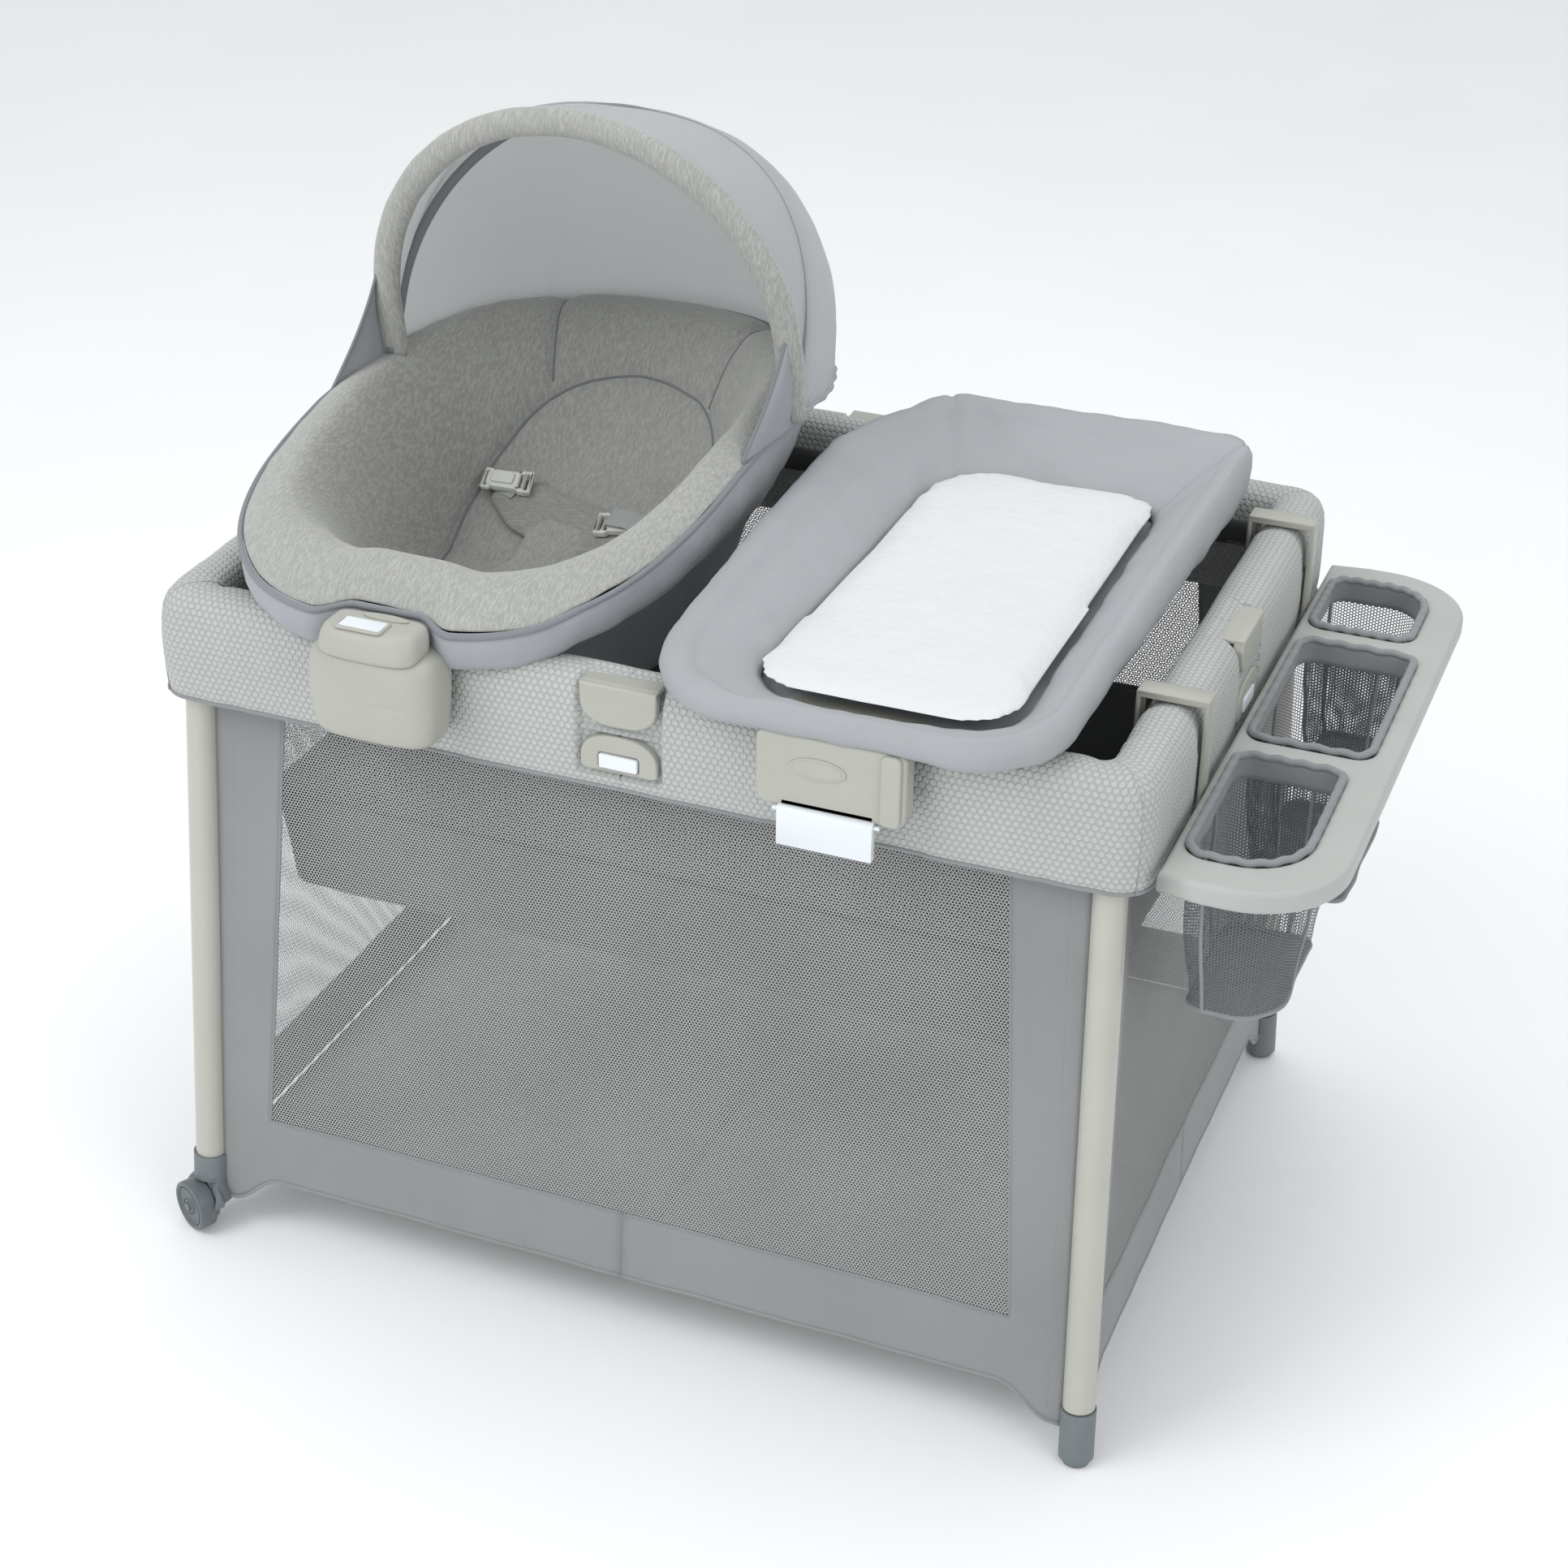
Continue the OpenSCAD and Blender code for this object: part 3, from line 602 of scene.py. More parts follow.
def wall_half(side, sgn):
    """side: front, back, left, right; sgn: which leg along the wall"""
    along_x = side in ("front", "back")
    s_out = -1 if side in ("front", "left") else 1
    if along_x:
        leg = ("f" if s_out < 0 else "b") + ("l" if sgn < 0 else "r")
    else:
        leg = ("f" if sgn < 0 else "b") + ("l" if s_out < 0 else "r")
    La = lx if along_x else ly          # along the wall
    Lo = ly if along_x else lx          # out of the wall
    bord_t, bord_b = (94, 72) if along_x else (84, 66)
    zs = np.r_[np.linspace(0, 1, 9)[:-1], 1 + np.linspace(0, 1, 5)[:-1], 2 + np.linspace(0, 1, 42)]
    ws = np.r_[np.linspace(0, 1, 12)[:-1], 1 + np.linspace(0, 1, 34)]
    V = np.zeros((len(ws), len(zs), 3))
    C = np.zeros((len(ws), len(zs), 2))
    for i, w in enumerate(ws):
        for j, q in enumerate(zs):
            zt = 640.0
            z = 70 + 0 * q if q < 0 else (70 + 38 * q if q <= 1 else 108 + 37 * (q - 1) if q <= 2 else 145 + (zt - 145) * (q - 2))
            a0 = La(z) - 15.5
            ab = La(z) - bord_t - (bord_b - bord_t) * (640 - z) / 560
            a = a0 + (ab - a0) * w if w <= 1 else ab * (2 - w)
            if q <= 1:
                z -= (1 - q) * 34 * sm((a - ab + 12) / (a0 - ab)) * (1 if w <= 1 else 0)
            o = Lo(z)
            f = math.sin(math.pi * min(1, max(0, (z - 70) / 560)))
            n1 = noise.noise(Vector((a / 90, z / 160, 3.1 if along_x else 7.7)))
            n2 = noise.noise(Vector((a / 45 + z / 200, z / 60, 1.3)))
            dep = -1.5 * f * (1 if a < ab else 0.4) + 1.2 * n1 + (0.8 * n2 if a > ab * 0.98 or z < 150 else 0.2 * n2)
            V[i, j] = (sgn * a, s_out * (o + dep), z) if along_x else (s_out * (o + dep), sgn * a, z)
            C[i, j] = (a, z)
    nw, nz = len(ws), len(zs)
    F = gF(nw, nz)
    keepf = []
    netf = []
    jw, jz = 11, 12      # first column and row of the net window
    for f in F:
        i, j = divmod(int(f[0]), nz)
        (netf if (i >= jw and j >= jz) else keepf).append(f)
    if sgn * s_out * (1 if along_x else -1) < 0:
        keepf = [f[::-1] for f in keepf]
        netf = [f[::-1] for f in netf]

    def sub(name, faces, mat):
        used = sorted({int(k) for f in faces for k in f})
        ix = {k: i for i, k in enumerate(used)}
        return mk(name, V.reshape(-1, 3)[used], [[ix[int(k)] for k in f] for f in faces], mat, C.reshape(-1, 2)[used])
    tag = side + ("_" + ("l" if sgn < 0 else "r") if along_x else "_" + ("f" if sgn < 0 else "b"))
    panel = solid(sub("wall_panel_" + tag, keepf, PANEL), 1.6)
    netp = sub("wall_net_" + tag, netf, NET)
    # welts: round the window, and down the corner panel
    win = [V[i, jz] for i in range(nw - 1, jw, -1)] + [V[jw, j] for j in range(jz, nz)]
    welt = tube("wall_welt_" + tag, np.array(win), 1.5, PIPE, n=6, up=(0.3, 0.5, 0.1))
    side_seam = tube("wall_seam_" + tag, V[3, 2:, :], 1.1, PIPE, n=6, up=(0.3, 0.5, 0.1))
    hem = tube("wall_hem_" + tag, V[:, 0, :], 2.2, PANEL, n=8, up=(0.1, 0.1, 1))
    top, bot = (lx, ly)[0 if along_x else 1](640), (lx, ly)[0 if along_x else 1](0)
    for o in (panel, netp, welt, side_seam, hem):
        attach(o, "leg_" + leg)
        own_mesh(o)
    half = (490 if along_x else 378)
    sheet(panel, half, 606)
    sheet(netp, half - 90, 500)
    return panel


for sd in ("front", "back", "left", "right"):
    for sg in (-1, 1):
        wall_half(sd, sg)
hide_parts("yard_walls")


# ------------------------------------------------------------------ yard floor pad: four quarters on the floor arms
def floor_quarter(sx, sy, leg):
    n = 34
    X, Y = np.meshgrid(np.linspace(0, 1, n), np.linspace(0, 1, n), indexing="ij")
    hx, hy, r = 481.0, 366.0, 62.0
    x, y = X * hx, Y * hy
    # round the outer corner
    cx, cy = hx - r, hy - r
    far = (x > cx) & (y > cy)
    dx, dy = np.where(far, x - cx, 0), np.where(far, y - cy, 0)
    m = np.maximum(np.abs(dx), np.abs(dy)) + 1e-9
    k = np.where(far, m / (np.hypot(dx, dy) + 1e-9), 1)
    x, y = np.where(far, cx + dx * k, x), np.where(far, cy + dy * k, y)
    edge = np.minimum(hx - x, hy - y)
    seam = np.minimum(x, y)
    dome = 6 * sm(edge / 14) * (0.55 + 0.45 * sm(seam / 22))
    q = 0.9 * np.sin(x / 24) * np.sin(y / 24)
    top = np.stack([sx * x, sy * y, 71.5 + dome + q * sm(edge / 40) * sm(seam / 40)], -1)
    botm = np.stack([sx * x, sy * y, np.full_like(x, 69.5)], -1)
    V = np.r_[top.reshape(-1, 3), botm.reshape(-1, 3)]
    F = gF(n, n).tolist()
    B = [tuple(np.array(f)[::-1] + n * n) for f in F]
    rim = []
    loop = [(i, 0) for i in range(n)] + [(n - 1, j) for j in range(1, n)] + [(i, n - 1) for i in range(n - 2, -1, -1)] + [(0, j) for j in range(n - 2, 0, -1)]
    for a, b in zip(loop, loop[1:] + loop[:1]):
        ia, ib = a[0] * n + a[1], b[0] * n + b[1]
        rim.append((ib, ia, ia + n * n, ib + n * n))
    F = F + B + rim
    if sx * sy < 0:
        F = [f[::-1] for f in F]
    ob = mk("floor_pad_" + leg, V, F, FLOORC)
    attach(ob, "arm_" + leg)
    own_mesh(ob)
    return ob


fq = [floor_quarter(sx, sy, l) for sx, sy, l in ((-1, -1, "fl"), (1, -1, "fr"), (-1, 1, "bl"), (1, 1, "br"))]
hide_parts("yard_floor")


# ------------------------------------------------------------------ padded rail covers
def cover_profile():
    """(t, z) round the section: outer lower edge, over the top, inner lower edge, then back inside"""
    o = [(25.0, 630), (27.2, 636), (28.4, 652), (29.0, 672), (28.8, 694), (28.0, 712), (26.4, 724), (22.5, 734), (16.0, 741), (8.0, 744.2), (0.0, 745),
         (-8.0, 744.4), (-13.0, 743.2), (-15.0, 741.6), (-17.0, 741.4), (-22.0, 736.5), (-26.0, 727), (-28.0, 712), (-28.6, 694), (-28.2, 672), (-27.4, 652), (-26.0, 636), (-24.0, 630)]
    i = [(-20.5, 630), (-21, 650), (-21.5, 700), (-19, 722), (-10, 736.5), (0, 738), (10, 736.5), (19, 722), (21.5, 700), (21, 650), (21, 630)]
    return np.array(o), np.array(i)


def dense(p, step):
    d = np.r_[0, np.cumsum(np.linalg.norm(np.diff(p, axis=0), axis=1))]
    s = np.linspace(0, d[-1], int(d[-1] / step) + 2)
    return np.c_[np.interp(s, d, p[:, 0]), np.interp(s, d, p[:, 1])]


def cover_half(side, sgn):
    along_x = side in ("front", "back")
    s_out = -1 if side in ("front", "left") else 1
    if along_x:
        tag = side + "_" + ("l" if sgn < 0 else "r")
    else:
        tag = side + "_" + ("f" if sgn < 0 else "b")
    ha, ho = (477.0, 329.0) if along_x else (329.0, 477.0)
    o, i = cover_profile()
    o, i = dense(o, 4.0), dense(i, 12.0)
    prof = np.r_[o, i]
    no = len(o)
    st = np.r_[0, np.arange(3, 60, 3), np.arange(60, ha - 62, 6), np.linspace(ha - 62, ha - 40, 4)[1:]]
    K = 9
    P = np.zeros((len(st) + K, len(prof), 3))
    C = np.zeros((len(st) + K, len(prof), 2))
    dl = np.r_[0, np.cumsum(np.linalg.norm(np.diff(prof, axis=0), axis=1))]
    pods = []
    if side == "front":
        pods = [(-234, 66), (225, 72)]
    elif side == "back":
        pods = [(-235, 40), (225, 40)]
    elif side == "right":
        pods = [(-180, 14), (240, 14)]
    for j, (t, z) in enumerate(prof):
        r = 34 - (28 - max(-28.6, min(29, t))) * 22 / 56
        a_str = ha + t - r
        inn = j >= no
        for k in range(len(st) + K):
            if k < len(st):
                a = st[k] * (a_str / st[-1])
                b = ho + t
                nx, nb = 0.0, 1.0
            else:
                an = math.radians(45 * (k - len(st) + 1) / K)
                a = a_str + r * math.sin(an)
                b = ho + t - r + r * math.cos(an)
                nx, nb = math.sin(an), math.cos(an)
            C[k, j] = (sgn * (a if k < len(st) else a_str + r * math.radians(45 * (k - len(st) + 1) / K)), dl[j])
            if not inn:
                d = 0.0
                # swelling between the fixed points, and small creases
                d += 1.0 * math.sin(a / ha * math.pi) * (1 if t > 0 else 0.6)
                w3 = Vector((sgn * a / 60, z / 60, 2.0 if along_x else 9.0))
                d += 1.3 * noise.noise(w3)
                cr = math.exp(-((a - ha + 60) / 45) ** 2)
                d += cr * 1.6 * noise.noise(Vector((a / 14, z / 40, t / 20)))
                # latch recess on the outer face and over the top
                if t > -4:
                    rec = sm((43.5 - a) / 3.0)
                    inw = sm((z - 692) / 3) + sm((z - 647) / 3) * sm((692 - z) / 3)
                    if t > 12:
                        d -= 9.8 * rec * min(1, inw)
                    else:
                        d -= 2.4 * rec
                for pc, pw in pods:
                    if pc * sgn > 0:
                        g = sm((pw + 10 - abs(a - abs(pc))) / 10)
                        d -= (3.2 if z > 700 else 1.8) * g
                dn = np.array([t, z - 690]) if z < 715 else np.array([t, (z - 715) * 1.2])
                if z < 715:
                    dn = np.array([1.0 if t > 0 else -1.0, 0.0])
                else:
                    dn = dn / (np.linalg.norm(dn) + 1e-9)
                a += nx * d * dn[0] * (1 if t > 0 else 1)
                b += nb * d * dn[0]
                zz = z + d * dn[1]
            else:
                zz = z
            P[k, j] = (sgn * a, s_out * b, zz) if along_x else (s_out * b, sgn * a, zz)
    n, m = P.shape[:2]
    # both end faces: fold the loop shut with a strip across the wall's thickness
    F = gF(n, m, False, True).tolist()
    half = []
    for k in (0, n - 1):
        ii = list(range(no, m))[::-1]
        oi = np.round(np.linspace(0, no - 1, len(ii))).astype(int)
        for x in range(len(ii) - 1):
            seg = list(range(oi[x], oi[x + 1] + 1))
            f = [k * m + q for q in seg] + [k * m + ii[x + 1], k * m + ii[x]]
            half.append(f if k else f[::-1])
    F = F + half
    if sgn * s_out * (1 if along_x else -1) > 0:
        F = [f[::-1] for f in F]
    ob = mk("rail_cover_" + tag, P.reshape(-1, 3), F, COVER, C)
    # piping along the outer lower edge
    e = P[:, 1].copy()
    pp = tube("cover_piping_" + tag, e, 2.4, PIPE, n=8)
    seam_i = np.argmin(np.abs(o[:, 0] + 15.0) + (o[:, 1] < 720) * 99)
    for x in (ob, pp):
        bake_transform(x)
    return ob


covers = [cover_half(sd, sg) for sd in ("front", "back", "left", "right") for sg in (-1, 1)]
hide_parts("rail_covers")


# ------------------------------------------------------------------ mid latches
def half_oval(w, top, bot, k=26, flat=0.35):
    pts = [(w, top), (-w, top)]
    for a in np.linspace(math.pi, 2 * math.pi, k):
        c, s = math.cos(a), math.sin(a)
        pts.append((w * math.copysign(abs(c) ** 0.75, c), (top - (top - bot) * flat) + (top - bot) * (1 - flat) * math.copysign(abs(s) ** 0.8, s)))
    return pts


def arch(w, top, bot, k=26):
    pts = [(-w, bot + 3)]
    for a in np.linspace(math.pi, 0, k):
        c, s = math.cos(a), math.sin(a)
        pts.append((w * math.copysign(abs(c) ** 0.8, c), bot + 12 + (top - bot - 12) * abs(s) ** 0.8))
    pts += [(w, bot + 3), (w - 6, bot), (-w + 6, bot)]
    return pts


def latch(side, body):
    k = {"front": 0, "right": 1, "back": 2, "left": 3}[side]
    o = 329.0 if k % 2 == 0 else 477.0
    R = Matrix.Rotation(math.radians(90 * k), 4, "Z")
    up = plate("latch_grip_" + side, [half_oval(39.0, 741.5, 699.5)], 11.5, 2.6, TAUPE, R @ FRONT(0, -(o + 24.0), 0))
    a = arch(39.0, 690.0, 651.5)
    hole = rrect(-20.4, 20.4, 655.6, 671.4, 3)
    lo = plate("latch_frame_" + side, [a, hole[::-1]], 11.5, 2.2, TAUPE, R @ FRONT(0, -(o + 24.0), 0))
    top = plate("latch_cap_" + side, [rrect(-39, 39, o + 4, o + 24, 5)], 5.0, 2.0, TAUPE, R @ basis((1, 0, 0), (0, -1, 0), (0, 0, -1), (0, 0, 739.5)))
    bar = plate("latch_core_" + side, [rrect(-36, 36, 650, 735, 4), rrect(-22.5, 22.5, 653.5, 673.5, 2)[::-1]], 6.5, 1.0, SLATE, R @ FRONT(0, -(o + 15.5), 0))
    for x in (up, lo, top, bar):
        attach(x, body)
    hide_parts("latch_" + side)


latch("front", "rail_front_r")
latch("back", "rail_back_l")
latch("left", "rail_left_f")
latch("right", "rail_right_b")


# ------------------------------------------------------------------ bassinet
def bass_ring(z, sag=0.0, n=200):
    f = (710 - z) / 330.0
    hx, hy = 445.5 - 20 * f, 297.5 - 20 * f
    R = ring_rr(hx, hy, 14 + 20 * f, z, n=n)
    return R


def bass_part(name, zs, mat, t, sag_top=0.0, wv=1.0):
    P = np.array([bass_ring(z) for z in zs])
    cen = np.array([0, 0, 0])
    nn = nrm(P, False, True)
    w = wob(P, wv, 70, 4.0) + wob(P, wv * 0.5, 26, 8.0)
    out = np.sign((nn[..., :2] * P[..., :2]).sum(-1))[..., None]
    P = P + nn * out * (w[..., None] - 1.0 * wv)
    return P


Pz = bass_part("", np.linspace(690, 500, 24), NET_DARK, None)
bn = mk("bassinet_net", Pz.reshape(-1, 3), gF(24, 200, False, True), NET_DARK, arc(Pz))
Pl = bass_part("", np.r_[np.linspace(503, 392, 14)], DARK, 1.6, wv=1.5)
low = [Pl[i] for i in range(len(Pl))]
for k in range(1, 12):     # the floor of the insert, drawn in to the middle
    q = Pl[-1].copy()
    f = 1 - k / 11.5
    q[:, :2] *= f
    q[:, 2] = 385 - 3 * math.sin(math.pi * f)
    low.append(q)
bl = solid(loft("bassinet_tub", np.array(low), DARK, caps=(False, True)), 2.0)
bt = []
for z, off in ((712, 0), (704, 0.6), (686, 0.2)):
    bt.append(bass_ring(z))
tb = solid(grid("bassinet_top_binding", np.array(bt), BLACK, False, True), 3.0)
wl = tube("bassinet_seam_welt", bass_ring(501.5), 1.8, BLACK, closed=True, n=6)
for x, s_ in ((bn, "mesh_fabric"), (bl, "insert_fabric"), (tb, "insert_fabric"), (wl, "insert_fabric")):
    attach(x, "bassinet")
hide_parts("bassinet_shell")
sheet(bn, 2900, 190)
sheet(bl, 1130, 830)
sheet(tb, 2960, 30)


def pillow(name, ring_fn, z0, z1, mat, edge=14.0, rings=18, crown=1.0, tuft=None, seed=0.0, n=180):
    """crowned closed pad: ring_fn(inset) gives the plan ring, pulled in at the welt"""
    mid = (z0 + z1) / 2
    h = (z1 - z0) / 2
    top, bot = [], []
    for k in range(rings + 1):
        f = k / rings
        ins = f
        hh = math.sin(min(1, f * 2.6) * math.pi / 2) ** 0.6
        R = ring_fn(ins, n)
        n = len(R)
        top.append(np.c_[R, np.full(n, mid + h * hh * (1 + 0.12 * crown * f))])
        bot.append(np.c_[R, np.full(n, mid - h * hh)])
    P = np.array(bot[::-1] + top[1:])
    return P


def mat_ring(f, n):
    R = ring_rr(418 * (1 - f) + 2 * f, 269 * (1 - f) + 1.4 * f, max(1.0, 30 * (1 - f)), 0, n=n)
    return R[:, :2]


P = pillow("", mat_ring, 388, 406, DARK)
mt = loft("mattress", P, plain_weave("mattress_cloth", "8E908F", crumple=0.001))
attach(mt, "bassinet")
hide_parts("mattress_pad")


# ------------------------------------------------------------------ seat
SX = -238.0


def outline(th, grow=0.0):
    """plan outline of the seat rim about its centre"""
    c, s = math.cos(th), math.sin(th)
    back = s > 0
    n = 2.35 if back else 3.0
    hx, hy = 233.0 + grow, (352.0 if back else 368.0) + grow
    k = (abs(c / hx) ** n + abs(s / hy) ** n) ** (-1 / n)
    x, y = c * k, s * k
    return x, y


def rim_z(y):
    return float(np.interp(y, [-390, -346, -312, -192, -60, 60, 200, 350], [771, 782, 795, 818, 840, 850, 850, 842]))


SEAT_C = (SX, -8.0)


def seat_xy(th, rho):
    x, y = outline(th)
    x, y = SEAT_C[0] + x * rho, SEAT_C[1] + y * rho
    # notch over the front pod
    if y < -250:
        g = sm(1 - (abs(x + 236) - 34) / 40) * sm((-y - 250) / 90)
        y += 22 * g * rho
    return x, y


def floor_z(x, y):
    """middle of the seat from thigh to head"""
    z = float(np.interp(y, [-340, -290, -230, -150, -60, 0, 60, 140, 220, 300, 350], [742, 716, 676, 650, 644, 652, 678, 716, 752, 786, 800]))
    z += 0.00085 * (x - SX) ** 2
    return z


def seat_h(th, rho):
    x, y = seat_xy(th, rho)
    rz = rim_z(y)
    fz = floor_z(x, y)
    side = abs(math.cos(th))
    r0 = 0.42 + 0.10 * side
    r1 = 0.88
    g = sm((rho - r0) / (r1 - r0))
    g = g ** 1.15
    z = fz + (rz + 10 - fz) * g if rz + 10 > fz else fz
    if rho > r1:
        q = (rho - r1) / (1 - r1)
        z = rz + 10 - 13 * q * q
    return x, y, z


def dist_poly(x, y, poly):
    p = np.asarray(poly, float)
    a, b = p[:-1], p[1:]
    ab = b - a
    t = np.clip(((x - a[:, 0]) * ab[:, 0] + (y - a[:, 1]) * ab[:, 1]) / (ab ** 2).sum(1), 0, 1)
    return float(np.hypot(x - a[:, 0] - t * ab[:, 0], y - a[:, 1] - t * ab[:, 1]).min())


SEAMS = [
    # back panel: up one side, round the head end, down the other
    [(-352, -96), (-362, -20), (-366, 60), (-352, 140), (-318, 196), (-262, 222), (-205, 220), (-152, 196), (-120, 140), (-108, 60), (-112, -20), (-122, -96)],
    [(-330, 190), (-352, 262), (-368, 330)],
    [(-148, 190), (-126, 262), (-108, 330)],
    # seat base panel
    [(-352, -96), (-338, -176), (-292, -222), (-238, -232), (-184, -222), (-138, -176), (-122, -96)],
]


def chaikin(p_, k=3):
    p_ = np.asarray(p_, float)
    for _ in range(k):
        q = np.repeat(p_, 2, 0)[1:-1]
        a, b = p_[:-1], p_[1:]
        q = np.empty((2 * len(a), 2))
        q[0::2], q[1::2] = a * 0.75 + b * 0.25, a * 0.25 + b * 0.75
        p_ = np.vstack([p_[:1], q, p_[-1:]])
    return p_


SEAMS = [chaikin(q) for q in SEAMS]


def groove(P):
    """sewn channels: sharp valley at the seam, soft swell beside it"""
    nn = nrm(P, True, False)
    sgn = np.sign(nn[..., 2:3])
    sgn[sgn == 0] = 1
    nn = nn * sgn
    d = np.array([[min(dist_poly(p[0], p[1], s) for s in SEAMS) for p in row] for row in P])
    off = -4.0 * np.exp(-(d / 4.5) ** 2) - 4.0 * np.exp(-(d / 15.0) ** 2) + 2.0
    return P + nn * off[..., None]


NT, NR = 330, 104
ths = np.linspace(0, 2 * np.pi, NT, endpoint=False)
rhos = np.r_[np.linspace(1.0, 0.86, 16)[:-1], np.linspace(0.86, 0.40, 54)[:-1], np.linspace(0.40, 0.02, NR - 68)]
S = np.array([[seat_h(t_, r_) for r_ in rhos] for t_ in ths])
S[..., 2] += wob(S, 3.0, 60, 2.0) + wob(S, 1.2, 24, 5.0)
S = groove(S)
# underside, 18 mm lower, closes the pad
under = S.copy()
nn = nrm(S, True, False)
nn = nn * np.sign(nn[..., 2:3] + 1e-9)
k = np.clip((1.0 - np.broadcast_to(rhos, S.shape[:2])) / 0.10, 0, 1)
under = S - nn * (3 + 13 * k)[..., None]
ns, ms = S.shape[:2]
V = np.r_[S.reshape(-1, 3), under.reshape(-1, 3)]
F1 = gF(ns, ms, True, False).tolist()
F2 = [[q + ns * ms for q in f[::-1]] for f in F1]
F3 = []
for i in range(ns):
    a, b = i * ms, ((i + 1) % ns) * ms
    F3.append([b, a, a + ns * ms, b + ns * ms])
    a, b = i * ms + ms - 1, ((i + 1) % ns) * ms + ms - 1
for lay, rev in ((0, False), (ns * ms, True)):
    V = np.r_[V, [V[lay + ms - 1::1][0:1][0] * 0 + V[[lay + i * ms + ms - 1 for i in range(ns)]].mean(0)]]
    ci = len(V) - 1
    for i in range(ns):
        a, b = lay + i * ms + ms - 1, lay + ((i + 1) % ns) * ms + ms - 1
        F3.append([a, b, ci] if not rev else [b, a, ci])
F = [f[::-1] for f in F1 + F2 + F3]
liner = mk("seat_liner", V, F, HEATHER)
subd(liner, 1)
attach(liner, "seat")
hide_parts("seat_pad")

# piping and outer shell
rim = np.array([[*seat_xy(t_, 1.012), 0] for t_ in ths])
rim[:, 2] = [rim_z(p[1]) - 4 for p in rim]
pp = tube("seat_rim_piping", rim, 3.2, SEATPIPE, closed=True, n=10)
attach(pp, "seat")


def shell_ring(rho, dz, z_abs=None, mix=0.0):
    R = np.array([[*seat_xy(t_, rho), 0.0] for t_ in ths])
    R[:, 2] = [rim_z(p[1]) + dz for p in R]
    if z_abs is not None:
        R[:, 2] = R[:, 2] * (1 - mix) + z_abs * mix
    return R


def low_ring(rx, ry, cy, z):
    return np.array([[SX + 3 + rx * math.cos(t_), cy + ry * math.sin(t_), z] for t_ in ths])


rings = [shell_ring(1.0, -3), shell_ring(1.012, -10), shell_ring(1.010, -24), shell_ring(0.995, -40), shell_ring(0.965, -52, 762, 0.35), shell_ring(0.93, -58, 758, 0.8)]
rings += [low_ring(205, 274, -5, 752), low_ring(196, 262, -8, 730), low_ring(178, 238, -15, 680), low_ring(158, 212, -22, 630), low_ring(142, 192, -25, 608), low_ring(100, 140, -25, 604), low_ring(40, 60, -25, 603.5)]
Q = np.array(rings)
fine = []
for a, b in zip(Q[:-1], Q[1:]):
    for f in (0, 0.34, 0.67):
        fine.append(a * (1 - f) + b * f)
fine.append(Q[-1])
Q = np.array(fine)
qn = nrm(Q, False, True)
Q = Q + qn * (wob(Q, 2.2, 45, 6.0) + wob(Q, 1.0, 18, 3.0))[..., None] * sm(np.arange(len(Q)) / 4)[:, None, None]
shell = solid(loft("seat_shell_cover", Q, SHELLC, caps=(False, True)), 2.0, 1.0)
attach(shell, "seat")
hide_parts("seat_shell")


def on_seat(x, y, up=0.0):
    """height of the liner at a plan point"""
    dx, dy = x - SEAT_C[0], y - SEAT_C[1]
    th = math.atan2(dy, dx)
    ox, oy = outline(th)
    return seat_h(th, math.hypot(dx, dy) / math.hypot(ox, oy))[2] + up


def pad_strip(name, centre, widths, th, mat, up, body="seat"):
    """padded strip lying on the liner: centre line points with half widths"""
    c = np.asarray(centre, float)
    d = np.r_[0, np.cumsum(np.linalg.norm(np.diff(c, axis=0), axis=1))]
    s = np.linspace(0, d[-1], 40)
    cx, cy, w = np.interp(s, d, c[:, 0]), np.interp(s, d, c[:, 1]), np.interp(s, d, widths)
    tx, ty = np.gradient(cx), np.gradient(cy)
    l = np.hypot(tx, ty)
    nx, ny = -ty / l, tx / l
    a = np.linspace(0, 2 * np.pi, 28, endpoint=False)
    rings_ = []
    for i in range(len(s)):
        e = min(1, math.sqrt(max(0, 1 - (abs(2 * i / (len(s) - 1) - 1)) ** 10)) + 0.25)
        row = []
        for q in a:
            u_, v_ = math.copysign(abs(math.cos(q)) ** 0.55, math.cos(q)), math.copysign(abs(math.sin(q)) ** 0.8, math.sin(q))
            X, Y = cx[i] + nx[i] * w[i] * u_, cy[i] + ny[i] * w[i] * u_
            row.append((X, Y, on_seat(X, Y, up) + th * e * v_ * (1 - 0.25 * abs(u_) ** 4)))
        rings_.append(row)
    ob = loft(name, np.array(rings_), mat)
    subd(ob, 1)
    return ob


def on_liner(x, y):
    """point and normal of the sewn liner at a plan point"""
    def h(a, b):
        z = on_seat(a, b)
        return z + 3.0 * noise.noise(Vector((a / 60 + 2.0, b / 60, z / 60))) + 1.2 * noise.noise(Vector((a / 24 + 5.0, b / 24, z / 24)))
    z = h(x, y)
    n_ = Vector((-(h(x + 3, y) - h(x - 3, y)) / 6, -(h(x, y + 3) - h(x, y - 3)) / 6, 1)).normalized()
    return np.array([x, y, z]), np.array(n_)


for i, q in enumerate(SEAMS):
    pts = []
    for x, y in dense(q, 6):
        a, b = on_liner(x, y)
        pts.append(a - b * 5.2)
    o = tube("seat_seam_%d" % i, np.array(pts), 1.5, SEATPIPE, n=6, up=(0.2, 0.1, 1))
    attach(o, "seat")

